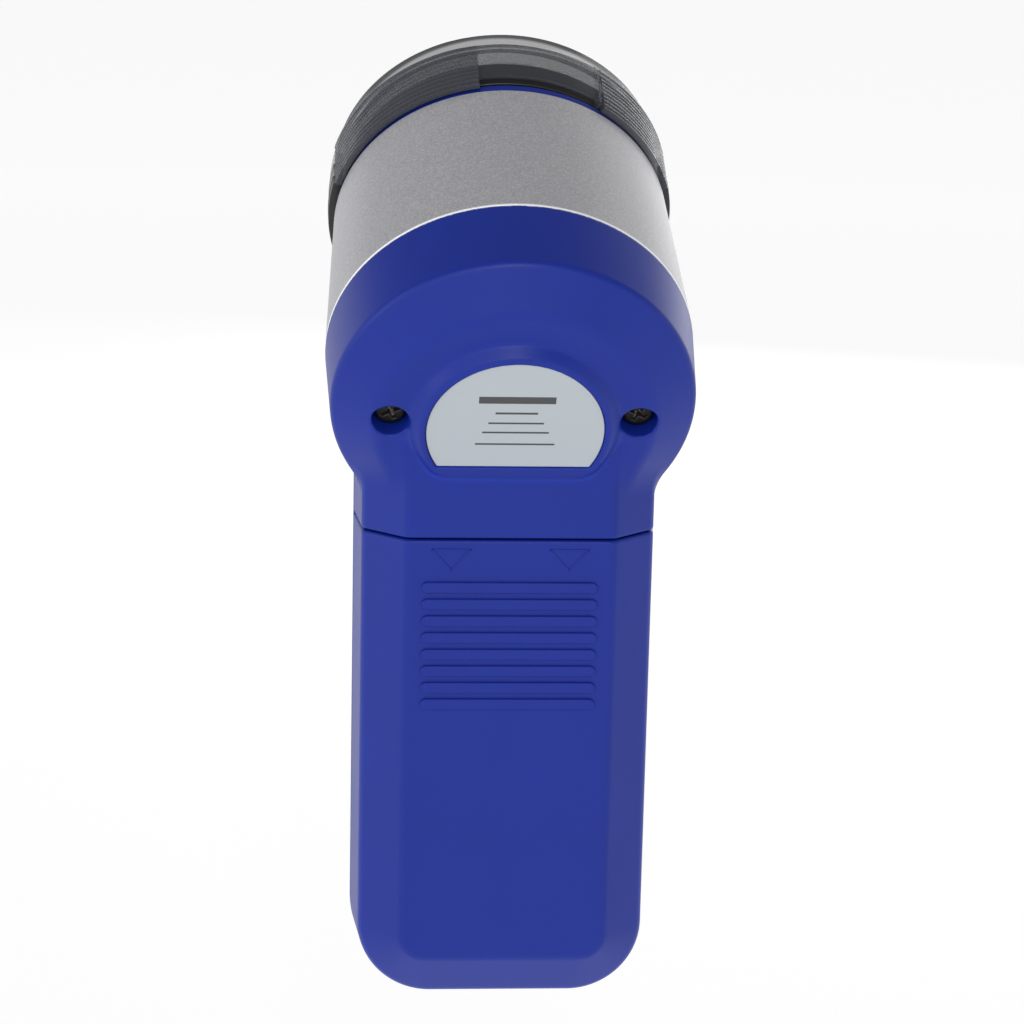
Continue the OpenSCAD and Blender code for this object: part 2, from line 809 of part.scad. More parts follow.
module bridge_contact() {
    pad_z = cell_z - nub_len - contact_t - 0.05;
    color("silver") {
        strip(-10, 6, cell_y - 3, cell_y + 2, bridge_z);
        translate([5.6, cell_y - 3, bridge_z]) cube([contact_t, 5, pad_z - bridge_z + contact_t]);
        strip(5.6, 9.5, cell_y - 3, cell_y + 2, pad_z);
    }
}

module bridge_spring() {
    color("silver") translate([-cell_x, cell_y, bridge_z + contact_t + 0.05])
        coil(spring_r - 0.8, cell_z - bridge_z - contact_t - 0.1, 3);
}

module plus_contact() {
    color("silver") {
        strip(-cell_x - 3, -cell_x + 3, cell_y - 3, 3.4, plus_z);
        translate([-cell_x - 3, 3, plus_z]) cube([3, contact_t, chassis_top - plus_z]);
    }
}

module minus_contact() {
    color("silver") {
        strip(cell_x - 3, cell_x + 3, cell_y - 3, 3.4, minus_z);
        translate([cell_x, 3, minus_z]) cube([3, contact_t, chassis_top - minus_z]);
    }
}

module minus_spring() {
    spring_z = cell_z + cell_len + 0.05;
    color("silver") translate([cell_x, cell_y, spring_z])
        coil(spring_r - 0.4, minus_z - spring_z - 0.05, 3);
}

// ---- switch ----

module switch_knob() {
    knob_y = front_y - 0.15;
    color("silver") {
        difference() {
            translate([0, knob_y, switch_z]) rotate([90, 0, 0]) linear_extrude(knob_h) {
                square([knob_w - 4, knob_len], center = true);
                square([knob_w, knob_len - 4], center = true);
                for (x = [-1, 1], z = [-1, 1])
                    translate([x * (knob_w / 2 - 2), z * (knob_len / 2 - 2)]) circle(r = 2);
            }
            // thumb grooves
            for (i = [-2 : 2]) translate([-BIG / 2, knob_y - knob_h, switch_z + i * 1.6])
                rotate([45, 0, 0]) cube([BIG, 0.6, 0.6], center = false);
        }
        translate([-stem_w / 2, knob_y - 0.5, stem_z - stem_len / 2])
            cube([stem_w, wall + 0.5 + 0.15 + 0.1, stem_len]);
    }
}

module switch_slider() {
    color("white") translate([-slider_w / 2, front_y + wall + 0.12, stem_z - slider_len / 2])
        cube([slider_w, slider_t, slider_len]);
}

module switch_strip() {
    color("goldenrod") translate([3.9, chassis_floor_y + 0.05, stem_z - 6])
        cube([2, 0.25, chassis_top - chassis_wall - 0.2 - stem_z + 6]);
}

// ---- leads, soldered to the contacts and to the motor ----

// A point of the head's frame in the frame of the handle
function from_head(x, y, z) = [x,
    head_y + y * sin(head_tilt) - z * cos(head_tilt),
    head_z + y * cos(head_tilt) + z * sin(head_tilt)];

// Lead from a contact's tab up the neck to the face of a motor terminal
module lead(side) {
    lead_y = terminal_y - lead_r - 0.05;
    start = [side * (cell_x + 1.5), 3.2, chassis_top + 0.8];
    turn = [side * 8, 5.5, head_z - 12];
    middle = [side * 6.5, head_y - 7.5, head_z - 6];
    over = from_head(side * terminal_x, lead_y, bell_z - 4);
    finish = from_head(side * terminal_x, lead_y, bell_z - 1);
    wire(concat(bend(start, turn, middle), [for (i = [1 : 8]) bend(middle, over, finish)[i]]), lead_r);
}

module red_lead() { color("red") lead(-1); }

module black_lead() { color("black") lead(1); }

front_case();
rear_case();
battery_cover();
head_collar();
name_plate();
case_screws();
protective_cap();
blade_frame();
outer_blade();
blade_retainer();
cutter_hub();
cutter_blades();
drive_coupling();
coupling_spring();
motor_shaft();
motor_armature();
motor_can();
motor_magnets();
motor_end_bell();
motor_deck();
motor_screws();
shaft_seal();
battery_chassis();
cell_left();
cell_right();
bridge_contact();
bridge_spring();
plus_contact();
minus_contact();
minus_spring();
switch_knob();
switch_slider();
switch_strip();
red_lead();
black_lead();
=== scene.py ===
"""Pocket rotary shaver: finished mouldings, metal parts and stage, built around its frame."""
import json
import math

import bmesh
import bpy
import numpy as np
from mathutils import Matrix, Vector


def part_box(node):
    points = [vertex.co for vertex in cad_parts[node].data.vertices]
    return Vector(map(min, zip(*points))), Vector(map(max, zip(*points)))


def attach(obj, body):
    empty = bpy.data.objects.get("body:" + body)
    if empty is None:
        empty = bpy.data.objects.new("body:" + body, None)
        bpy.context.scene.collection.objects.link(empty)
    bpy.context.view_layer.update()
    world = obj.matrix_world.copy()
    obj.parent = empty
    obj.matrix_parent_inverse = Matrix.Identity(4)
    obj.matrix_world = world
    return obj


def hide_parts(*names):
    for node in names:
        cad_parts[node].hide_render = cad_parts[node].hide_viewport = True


bl_info = {
    "name": "Pocket Rotary Shaver",
    "version": (1, 0, 0),
    "blender": (4, 5, 0),
    "location": "3D View > Sidebar > Shaver",
    "description": "Builds the finished pieces of a pocket shaver around its frame",
    "category": "Add Mesh",
}

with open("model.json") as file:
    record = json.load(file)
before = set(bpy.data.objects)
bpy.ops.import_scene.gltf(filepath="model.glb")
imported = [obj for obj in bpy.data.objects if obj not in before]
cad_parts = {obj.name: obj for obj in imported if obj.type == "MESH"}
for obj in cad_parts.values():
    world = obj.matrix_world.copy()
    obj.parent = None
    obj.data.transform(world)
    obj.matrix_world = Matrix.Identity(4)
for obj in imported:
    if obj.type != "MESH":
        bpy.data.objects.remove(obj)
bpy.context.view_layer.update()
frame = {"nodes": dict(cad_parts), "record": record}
MM = 0.001
BEHAVIOUR = frame["record"]["behaviour"]
BODY_OF = {node: body for body, nodes in BEHAVIOUR["bodies"].items() for node in nodes}
SLOT_OF = {part["node"]: part["material_slot"] for part in frame["record"]["subparts"]}


# ---- places taken from the frame, in millimetres ----

def spin_joint():
    """The joint that turns the cutter, whose axis is the head's own."""
    return next(j for j in BEHAVIOUR["joints"] if j["name"] == "rotor_spin")


def travel(name):
    """How far a sliding joint goes, in millimetres."""
    joint = next(j for j in BEHAVIOUR["joints"] if j["name"] == name)
    return max(abs(v) for v in joint["range_m"]) / MM


AXIS = Vector(spin_joint()["axis"]).normalized()
COVER_TRAVEL = travel("battery_door_slide")
ACROSS = Vector((1.0, 0.0, 0.0))
RISE = AXIS.cross(ACROSS)
HEAD = np.array(spin_joint()["pos_m"]) / MM
HEAD_TURN = np.array([ACROSS, RISE, AXIS])


def low(node):
    """Lowest corner of a node's box."""
    return np.array(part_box(node)[0]) / MM


def high(node):
    """Highest corner of a node's box."""
    return np.array(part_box(node)[1]) / MM


def in_head(points):
    """Points of the object in the head's frame: across, up the head's back, along its axis."""
    return (points - HEAD) @ HEAD_TURN.T


def from_head(points):
    """Points of the head's frame in the object's frame."""
    return np.asarray(points, float) @ HEAD_TURN + HEAD


def node_points(node):
    """Corners of a node's mesh."""
    mesh = frame["nodes"][node].data
    points = np.zeros(len(mesh.vertices) * 3, np.float32)
    mesh.vertices.foreach_get("co", points)
    return points.reshape(-1, 3).astype(float) / MM


def head_reach(node):
    """Start and end of a node along the head's axis, and its largest radius."""
    points = in_head(node_points(node))
    return points[:, 2].min(), points[:, 2].max(), np.hypot(points[:, 0], points[:, 1]).max()


COVER_TOP = low("rear_case")[2]
WIDE = high("battery_cover")[0]
TRAY_TO_FRONT = 2.1
FRONT = low("battery_chassis")[1] - TRAY_TO_FRONT
COLLAR_START, COLLAR_END, COLLAR_R = head_reach("head_collar")
FRAME_START, FRAME_END, FRAME_GRIP_R = head_reach("blade_frame")
CAP_START, CAP_END, CAP_R = head_reach("protective_cap")
PLATE_START, PLATE_END, PLATE_R = head_reach("name_plate")

# Details of the mouldings, in millimetres.
SHELF_BORE = 11.5
RIDGE_PITCH = 0.9
RIB_STAND = 0.4
RIB_COUNT, RIB_START, RIB_PITCH = 8, 6.15, 2.17
RIB_SIZE = (11.05, 0.7, 0.38)
ARROW_ACROSS, ARROW_DROP = 7.4, 2.6
ARROW_SIZE = (4.8, 2.6, 0.20, 0.10)
HANDLE_BELOW_HEAD = 4
# Bars of the name plate: height, half width and half thickness.
PLATE_BARS = [(5.3, 4.7, 0.55), (3.2, 2.6, 0.16), (1.6, 3.4, 0.14), (0.1, 4.1, 0.14), (-1.8, 4.9, 0.14)]


# ---- sizes and colours that a user would change ----

def length(title, about, value):
    """A length property whose default is given in millimetres."""
    return bpy.props.FloatProperty(name=title, description=about, default=value * MM,
                                   min=0.0, precision=5, unit="LENGTH")


def colour(title, about, value):
    """A colour property."""
    return bpy.props.FloatVectorProperty(name=title, description=about, default=value,
                                         size=3, min=0.0, max=1.0, subtype="COLOR")


class ShaverSizes(bpy.types.PropertyGroup):
    """Sizes of the mouldings."""
    facet_width: length("Flat width", "Width of the flat down the back of the handle", 26.1)
    chamfer_depth: length("Chamfer depth", "Depth of the long chamfers beside the flat", 5.3)
    body_width: length("Handle width", "Width across the outer chamfer edges", 37.0)
    side_depth: length("Side depth", "From the chamfer to the parting line", 9.5)
    foot_height: length("Foot chamfer", "Height of the chamfer across the bottom", 6.6)
    corner_radius: length("Corner radius", "Radius of the bottom corners", 9.5)
    front_radius: length("Front radius", "Radius of the edge round the front", 6.0)
    wall: length("Wall", "Wall thickness of the mouldings", 1.8)
    edge: length("Edge softness", "Size of the softened moulded edges", 0.5)
    head_edge_radius: length("Head edge radius", "Radius of the head at its back chamfer", 22.67)
    head_edge_depth: length("Head chamfer depth", "Depth of the head's back chamfer", 3.58)
    head_flat_radius: length("Head flat radius", "Radius of the flat back of the head", 17.22)
    boss_radius: length("Boss radius", "Foot radius of the plate's boss", 13.2)
    boss_height: length("Boss height", "Height of the plate's boss", 1.6)
    boss_slope: length("Boss slope", "Width of the boss's sloping edge", 1.4)
    boss_chord: length("Boss chord", "Straight foot below the head's centre", 7.8)
    screw_across: length("Screw place", "Each case screw from the centre line", 15.3)
    screw_rise: length("Screw height", "Case screws above the head's centre", 0.6)
    screw_hole: length("Screw hole", "Radius of a sunk screw hole", 2.3)
    screw_sink: length("Screw depth", "Depth of a sunk screw hole", 3.2)
    joint_gap: length("Joint gap", "Half of the gap between mouldings", 0.1)
    grid_size: length("Grid", "Grid on which the mouldings are formed", 0.25)


class ShaverColours(bpy.types.PropertyGroup):
    """Colours of the finishes."""
    blue: colour("Case", "Blue case mouldings", (0.006, 0.024, 0.275))
    silver: colour("Collar", "Metallic paint of the collar", (0.46, 0.46, 0.485))
    plate: colour("Plate", "Foil of the name plate", (0.47, 0.515, 0.55))
    smoke: colour("Cap", "Smoke-tinted cap", (0.075, 0.079, 0.096))
    black: colour("Blade frame", "Black blade frame", (0.012, 0.012, 0.014))
    acetal: colour("Bearings", "White inner mouldings", (0.78, 0.78, 0.75))
    grey: colour("Tray", "Grey inner mouldings", (0.09, 0.095, 0.105))
    steel: colour("Steel", "Bright steel", (0.62, 0.62, 0.63))
    copper: colour("Windings", "Enamelled copper wire", (0.52, 0.17, 0.06))
    wrap: colour("Cell sleeve", "Main colour of the cells' sleeves", (0.03, 0.032, 0.04))
    wrap_top: colour("Cell sleeve end", "Colour at the cells' plus end", (0.62, 0.34, 0.10))


class Sizes:
    """The size properties as plain numbers in millimetres."""

    def __init__(self):
        group = bpy.context.scene.shaver_sizes
        for name in ShaverSizes.__annotations__:
            setattr(self, name, getattr(group, name) / MM)
        self.back = high("battery_cover")[1] - RIB_STAND
        self.flank = self.back - self.chamfer_depth
        self.parting = self.flank - self.side_depth
        self.half = self.body_width / 2
        self.chamfer_width = (self.body_width - self.facet_width) / 2
        self.handle_top = HEAD[2] - HANDLE_BELOW_HEAD


def tint(name):
    """A colour property as a four-number colour."""
    return (*getattr(bpy.context.scene.shaver_colours, name), 1.0)


# ---- finishes ----

class Wire:
    """A shader socket on which arithmetic adds Math nodes."""

    def __init__(self, finish, socket):
        self.finish = finish
        self.socket = socket

    def math(self, operation, *values):
        inputs = dict(enumerate(values))
        return self.finish.node("ShaderNodeMath", {"operation": operation}, inputs)

    def __add__(self, other):
        return self.math("ADD", self, other)

    def __sub__(self, other):
        return self.math("SUBTRACT", self, other)

    def __rsub__(self, other):
        return self.math("SUBTRACT", other, self)

    def __mul__(self, other):
        return self.math("MULTIPLY", self, other)

    def __truediv__(self, other):
        return self.math("DIVIDE", self, other)

    def __gt__(self, other):
        return self.math("GREATER_THAN", self, other)

    def __lt__(self, other):
        return self.math("LESS_THAN", self, other)

    def __abs__(self):
        return self.math("ABSOLUTE", self)

    __radd__ = __add__
    __rmul__ = __mul__


class Finish:
    """A material for one slot, with its main shader at hand."""

    def __init__(self, slot, base, roughness, **settings):
        self.material = bpy.data.materials.new(slot)
        self.material.use_nodes = True
        self.tree = self.material.node_tree
        self.shader = self.tree.nodes["Principled BSDF"]
        self.set("Base Color", base)
        self.set("Roughness", roughness)
        for name, value in settings.items():
            self.set(name.replace("_", " ").title().replace("Ior", "IOR"), value)

    def node(self, kind, settings=None, inputs=None, output=0):
        """Adds a node: its settings first, then the values or links of its sockets."""
        item = self.tree.nodes.new(kind)
        for name, value in (settings or {}).items():
            if name == "stops":
                for element, (place, shade) in zip(item.color_ramp.elements, value):
                    element.position = place
                    element.color = shade
            else:
                setattr(item, name, value)
        for name, value in (inputs or {}).items():
            self.join(value, item.inputs[name])
        return Wire(self, item.outputs[output])

    def join(self, value, socket):
        if isinstance(value, Wire):
            self.tree.links.new(value.socket, socket)
        else:
            socket.default_value = value

    def set(self, name, value):
        self.join(value, self.shader.inputs[name])

    def place(self):
        """Position in the object's own frame."""
        return self.node("ShaderNodeTexCoord", output="Object")

    def along(self, direction, start=(0, 0, 0)):
        """Distance in millimetres from a start along a direction."""
        moved = self.node("ShaderNodeVectorMath", {"operation": "SUBTRACT"},
                          {0: self.place(), 1: [v * MM for v in start]})
        scaled = [v / MM for v in direction]
        return self.node("ShaderNodeVectorMath", {"operation": "DOT_PRODUCT"},
                         {0: moved, 1: scaled}, output="Value")

    def from_axis(self):
        """Distance in millimetres from the head's axis."""
        across = self.along(ACROSS, tuple(HEAD))
        rise = self.along(RISE, tuple(HEAD))
        square = across * across + rise * rise
        return square.math("SQRT", square)

    def noise(self, size, detail):
        """Cloudy pattern whose features are about size millimetres wide."""
        inputs = {"Vector": self.place(), "Scale": 1 / (size * MM), "Detail": detail}
        return self.node("ShaderNodeTexNoise", None, inputs)

    def ramp(self, value, low_at, high_at):
        """0 below low_at, 1 above high_at."""
        return self.node("ShaderNodeMapRange", {"interpolation_type": "SMOOTHSTEP"},
                         {0: value, 1: low_at, 2: high_at, 3: 0.0, 4: 1.0})

    def mix(self, factor, first, second):
        """Colour between two colours."""
        return self.node("ShaderNodeMix", {"data_type": "RGBA"},
                         {0: factor, 6: first, 7: second}, output=2)

    def edges(self):
        """1 on the outward edges of a mesh, from the value kept on its points."""
        return self.node("ShaderNodeAttribute", {"attribute_name": "edge"}, output="Fac")

    def bump(self, height, depth):
        """Relief of a given depth in millimetres."""
        self.set("Normal", self.node("ShaderNodeBump", None, {
            "Strength": 1.0, "Distance": depth * MM, "Height": height}))


def shade(colour_value, factor):
    """A colour made lighter or darker."""
    return (*[min(c * factor, 1.0) for c in colour_value[:3]], 1.0)


def moulded(slot, base, roughness, grain=0.16, depth=0.012, **settings):
    """Textured moulding: fine grain, faint flow clouds, and outward edges painted lighter as a painted
    highlight, with lower roughness there.
    """
    finish = Finish(slot, base, roughness, **settings)
    clouds = finish.noise(9, 3)
    edge = finish.edges()
    body = finish.mix(clouds, shade(base, 0.92), shade(base, 1.08))
    # Painted highlight: outward edges are painted up to 1.8 times lighter, where light would catch them.
    finish.set("Base Color", finish.mix(edge * 0.35, body, shade(base, 1.8)))
    fine = finish.noise(grain, 2)
    finish.set("Roughness", roughness + (fine - 0.5) * 0.12 - edge * 0.10 + (clouds - 0.5) * 0.06)
    finish.bump(fine, depth)
    return finish.material


def blue_plastic():
    return moulded("blue_plastic", tint("blue"), 0.40, grain=0.20, depth=0.012,
                   specular_ior_level=0.26)


def silver_paint():
    """Metallic paint: fine flakes whose glints are painted into the base colour one by one, and a painted
    highlight along the marked edge.
    """
    base = tint("silver")
    finish = Finish("silver_paint", base, 0.42, metallic=0.25, specular_ior_level=0.3)
    flakes = finish.node("ShaderNodeTexVoronoi", {"feature": "F1"},
                         {"Vector": finish.place(), "Scale": 1 / (0.16 * MM)}, output="Color")
    flake = finish.node("ShaderNodeSeparateColor", None, {0: flakes})
    clouds = finish.noise(0.5, 3)
    # Painted glints: each flake is painted lighter or darker, as if it caught the light or not.
    painted_glint = finish.ramp(flake, 0.2, 1.0)
    body = finish.mix(painted_glint, shade(base, 0.86), shade(base, 1.14))
    # Painted highlight: the marked edge is painted up to 2.2 times lighter, a bright line where the bevel
    # would catch the light.
    finish.set("Base Color", finish.mix(finish.edges(), body, shade(base, 2.2)))
    finish.set("Roughness", 0.36 + flake * 0.14 + (clouds - 0.5) * 0.1)
    finish.bump(flake * 0.5 + clouds, 0.006)
    return finish.material


def plate_foil():
    """Satin foil with generic rating bars in place of any wording."""
    base = tint("plate")
    finish = Finish("plate_foil", base, 0.34, metallic=0.35)
    centre = tuple(from_head([0, 0, 0]))
    across = finish.along(ACROSS, centre)
    rise = finish.along(RISE, centre)
    fine = finish.noise(0.12, 2)
    ink = None
    for height, half, thick in PLATE_BARS:
        bar = (abs(across) < half) * (abs(rise - height) < thick)
        ink = bar if ink is None else ink.math("MAXIMUM", ink, bar)
    body = finish.mix(fine, shade(base, 0.96), shade(base, 1.04))
    finish.set("Base Color", finish.mix(ink * 0.92, body, (0.02, 0.02, 0.022, 1)))
    finish.set("Metallic", 0.35 - ink * 0.35)
    finish.set("Roughness", 0.32 + fine * 0.06 + ink * 0.1)
    finish.bump(fine, 0.004)
    return finish.material


def smoke_plastic():
    """Clear smoke-tinted moulding."""
    base = tint("smoke")
    finish = Finish("smoke_plastic", base, 0.10, ior=1.49, specular_ior_level=0.18)
    clouds = finish.noise(6, 2)
    rim = finish.node("ShaderNodeLayerWeight", None, {"Blend": 0.35}, output="Facing")
    depth = finish.along(AXIS, tuple(HEAD))
    radius = finish.from_axis()
    at_front = finish.ramp(depth, CAP_END - 1.2, CAP_END - 0.9)
    corner = at_front * finish.ramp(radius, CAP_R - 2.4, CAP_R - 1.9)
    turns = depth / RIDGE_PITCH
    ridge = abs(turns.math("FRACT", turns) - 0.5) * 2
    grip = finish.edges()
    thick = grip * (0.12 + ridge * 0.34) + corner * 0.5
    finish.set("Base Color", finish.mix(corner, base, shade(base, 0.2)))
    finish.set("Alpha", 0.33 + rim * 0.22 + thick + (clouds - 0.5) * 0.04)
    finish.set("Roughness", 0.13 + finish.noise(3, 2) * 0.04)
    finish.bump(clouds, 0.01)
    return finish.material


def black_plastic():
    return moulded("black_plastic", tint("black"), 0.30, grain=0.3, depth=0.006)


def black_screw():
    """Blackened steel with wear on the cross recess."""
    finish = Finish("black_screw", (0.018, 0.017, 0.016, 1), 0.35, metallic=0.8)
    edge = finish.edges()
    worn = finish.noise(0.3, 4)
    finish.set("Base Color", finish.mix(edge * worn, (0.018, 0.017, 0.016, 1), (0.22, 0.20, 0.18, 1)))
    finish.set("Roughness", 0.28 + worn * 0.25)
    finish.bump(worn, 0.02)
    return finish.material


def metal(slot, base, roughness, direction, size=0.06, depth=0.004):
    """Metal with fine lines across a direction: the pattern changes quickly along it."""
    finish = Finish(slot, base, roughness, metallic=1.0)
    run = finish.along(direction)
    lines = finish.node("ShaderNodeTexNoise", {"noise_dimensions": "1D"},
                        {"W": run, "Scale": 1 / size, "Detail": 3.0})
    smudge = finish.noise(size * 40.0, 3)
    wear = lines * 0.6 + smudge * 0.4
    finish.set("Base Color", finish.mix(wear, shade(base, 0.80), shade(base, 1.12)))
    finish.set("Roughness", roughness + (lines - 0.5) * 0.2 + (smudge - 0.5) * 0.15)
    finish.bump(lines, depth)
    return finish.material


def turned(slot, base, roughness):
    """Metal with fine turning marks round the head's axis."""
    finish = Finish(slot, base, roughness, metallic=1.0)
    radius = finish.from_axis()
    rings = finish.node("ShaderNodeTexNoise", {"noise_dimensions": "1D"},
                        {"W": radius, "Scale": 14.0, "Detail": 3.0})
    finish.set("Base Color", finish.mix(rings, shade(base, 0.85), shade(base, 1.1)))
    finish.set("Roughness", roughness + (rings - 0.5) * 0.16)
    finish.bump(rings, 0.004)
    return finish.material


def cell_wrap():
    """Printed sleeve: a plain dark body, a warm band at the plus end, bright steel ends."""
    finish = Finish("cell_wrap", tint("wrap"), 0.25)
    height = finish.along((0, 0, 1))
    side = finish.along((1, 0, 0))
    bottom, top = low("cell_left")[2], high("cell_left")[2]
    turned_over = side > 0
    level = finish.node("ShaderNodeMix", {"data_type": "FLOAT"},
                        {0: turned_over, 2: (height - bottom) / (top - bottom),
                         3: (high("cell_right")[2] - height) / (top - bottom)})
    band = finish.ramp(level, 0.70, 0.705)
    sleeve = finish.mix(band, tint("wrap"), tint("wrap_top"))
    bare = finish.ramp(abs(level - 0.485), 0.478, 0.480)
    finish.set("Base Color", finish.mix(bare, sleeve, tint("steel")))
    finish.set("Metallic", bare * 0.9 + band * 0.4)
    finish.set("Roughness", 0.24 + finish.noise(0.8, 3) * 0.1)
    return finish.material


def felt():
    """Pressed fibres."""
    finish = Finish("felt", (0.05, 0.05, 0.05, 1), 0.95)
    fibres = finish.noise(0.08, 6)
    finish.set("Base Color", finish.mix(fibres, (0.02, 0.02, 0.02, 1), (0.10, 0.10, 0.10, 1)))
    finish.bump(fibres, 0.08)
    return finish.material


def magnet():
    return moulded("magnet", (0.03, 0.03, 0.033, 1), 0.55, grain=0.08, depth=0.03, metallic=0.4)


def wire_sleeve(slot, base):
    return moulded(slot, base, 0.42, grain=0.1, depth=0.006)


FINISHES = {
    "blue_plastic": blue_plastic,
    "silver_paint": silver_paint,
    "plate_foil": plate_foil,
    "black_screw": black_screw,
    "smoke_plastic": smoke_plastic,
    "black_plastic": black_plastic,
    "blade_steel": lambda: turned("blade_steel", tint("steel"), 0.20),
    "white_plastic": lambda: moulded("white_plastic", tint("acetal"), 0.42, specular_ior_level=0.45),
    "grey_plastic": lambda: moulded("grey_plastic", tint("grey"), 0.5, grain=0.25, depth=0.02),
    "spring_steel": lambda: metal("spring_steel", tint("steel"), 0.25, AXIS),
    "copper_winding": lambda: metal("copper_winding", tint("copper"), 0.32, AXIS, size=0.22, depth=0.05),
    "motor_steel": lambda: metal("motor_steel", tint("steel"), 0.33, AXIS),
    "magnet": magnet,
    "felt": felt,
    "cell_wrap": cell_wrap,
    "contact_metal": lambda: metal("contact_metal", (0.60, 0.58, 0.54, 1), 0.28, (0, 0, 1)),
    "brass_strip": lambda: metal("brass_strip", (0.62, 0.38, 0.10, 1), 0.28, (1, 0, 0)),
    "red_wire": lambda: wire_sleeve("red_wire", (0.42, 0.01, 0.01, 1)),
    "black_wire": lambda: wire_sleeve("black_wire", (0.012, 0.012, 0.012, 1)),
}
made_finishes = {}


def finish_of(node):
    """The finish of a node's slot, made once."""
    slot = SLOT_OF[node]
    if slot not in made_finishes:
        made_finishes[slot] = FINISHES[slot]()
    return made_finishes[slot]


# ---- making meshes ----

def add_piece(name, node, points, faces, edges=None, smooth=40.0):
    """Adds a mesh given in millimetres that stands for a node, rides on its body and has its finish."""
    mesh = bpy.data.meshes.new(name)
    mesh.from_pydata((np.asarray(points) * MM).tolist(), [], [list(map(int, f)) for f in faces])
    if edges is not None:
        kept = mesh.attributes.new("edge", "FLOAT", "POINT")
        kept.data.foreach_set("value", edges.astype(np.float32))
    mesh.validate()
    piece = bpy.data.objects.new(name, mesh)
    bpy.context.scene.collection.objects.link(piece)
    return dress(piece, node, smooth)


def dress(piece, node, smooth=40.0):
    """Smooth shading, finish, body and slot of a new piece."""
    piece.data.materials.clear()
    piece.data.materials.append(finish_of(node))
    piece.data.shade_smooth()
    piece.data.set_sharp_from_angle(angle=math.radians(smooth))
    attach(piece, BODY_OF[node])
    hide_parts(node)
    return piece


def refined(node, width=0.12, segments=2, angle=28.0):
    """A node's own shape with its edges broken by a small rounded bevel."""
    source = frame["nodes"][node]
    mesh = source.data.copy()
    mesh.name = node + "_finished"
    work = bmesh.new()
    work.from_mesh(mesh)
    bmesh.ops.remove_doubles(work, verts=work.verts, dist=0.004 * MM)
    bmesh.ops.dissolve_limit(work, angle_limit=math.radians(1.5), verts=work.verts, edges=work.edges)
    work.to_mesh(mesh)
    work.free()
    piece = bpy.data.objects.new(node + "_finished", mesh)
    bpy.context.scene.collection.objects.link(piece)
    bevel = piece.modifiers.new("edges", "BEVEL")
    bevel.width = width * MM
    bevel.segments = segments
    bevel.limit_method = "ANGLE"
    bevel.angle_limit = math.radians(angle)
    bevel.use_clamp_overlap = True
    graph = bpy.context.evaluated_depsgraph_get()
    piece.data = bpy.data.meshes.new_from_object(piece.evaluated_get(graph))
    piece.modifiers.clear()
    bpy.data.meshes.remove(mesh)
    return dress(piece, node)


def join_parts(*parts):
    """One list of points, faces and edge values from several."""
    points, faces, edges, start = [], [], [], 0
    for part_points, part_faces, *rest in parts:
        points.append(np.asarray(part_points, float))
        faces.extend([[i + start for i in face] for face in part_faces])
        edges.append(rest[0] if rest else np.zeros(len(part_points)))
        start += len(part_points)
    return np.vstack(points), faces, np.concatenate(edges)


def loop_grid(columns, closed_round=True):
    """Faces over columns of points: each column is a closed outline, the columns go round."""
    count, size = len(columns), len(columns[0])
    faces = []
    for i in range(count if closed_round else count - 1):
        here, after = i * size, (i + 1) % count * size
        for j in range(size):
            k = (j + 1) % size
            faces.append([here + j, after + j, after + k, here + k])
    return np.asarray(columns).reshape(-1, 3), faces


def revolve(outline, segments=192, bulge=None):
    """Turns a closed outline of (radius, height) round the head's axis; bulge changes a column."""
    columns = []
    for i in range(segments):
        turn = 2 * math.pi * i / segments
        points = outline if bulge is None else bulge(turn, outline)
        columns.append([(r * math.sin(turn), r * math.cos(turn), w) for r, w in points])
    points, faces = loop_grid(columns)
    return from_head(points), faces


def rounded(corners, radius, steps=4):
    """A closed outline with each corner given a small round."""
    out = []
    count = len(corners)
    for i, corner in enumerate(corners):
        here = np.array(corner, float)
        before = np.array(corners[i - 1], float) - here
        after = np.array(corners[(i + 1) % count], float) - here
        cut = min(radius, np.linalg.norm(before) * 0.45, np.linalg.norm(after) * 0.45)
        start = here + before / np.linalg.norm(before) * cut
        end = here + after / np.linalg.norm(after) * cut
        for step in range(steps + 1):
            t = step / steps
            out.append(tuple(start * (1 - t) ** 2 + here * 2 * t * (1 - t) + end * t ** 2))
    return out


def tube(path, radius, sides=10):
    """Round wire along a path, with its ends closed."""
    path = np.asarray(path, float)
    ahead = np.gradient(path, axis=0)
    ahead /= np.linalg.norm(ahead, axis=1)[:, None]
    side = np.cross(ahead[0], (0.3, 0.5, 0.8))
    rings = []
    for point, direction in zip(path, ahead):
        side = side - direction * side.dot(direction)
        side /= np.linalg.norm(side)
        other = np.cross(direction, side)
        rings.append([point + radius * (side * math.cos(a) + other * math.sin(a))
                      for a in np.linspace(0, 2 * math.pi, sides, endpoint=False)])
    points, faces = loop_grid(rings, closed_round=False)
    faces = [face[::-1] for face in faces]
    last = (len(rings) - 1) * sides
    return points, faces + [list(range(sides))[::-1], list(range(last, last + sides))]


# ---- mouldings formed from distance fields ----

def soft_max(a, b, k):
    """Larger of two fields, with the crease between them rounded over k."""
    h = np.maximum(k - np.abs(a - b), 0) / k
    return np.maximum(a, b) + h * h * k * 0.25


def soft_min(a, b, k):
    """Smaller of two fields, with the crease between them filled over k."""
    return -soft_max(-a, -b, k)


def round_max(a, b, radius):
    """Larger of two fields, with a true round of a given radius."""
    return (np.minimum(np.maximum(a, b), -radius)
            + np.hypot(np.maximum(a + radius, 0), np.maximum(b + radius, 0)))


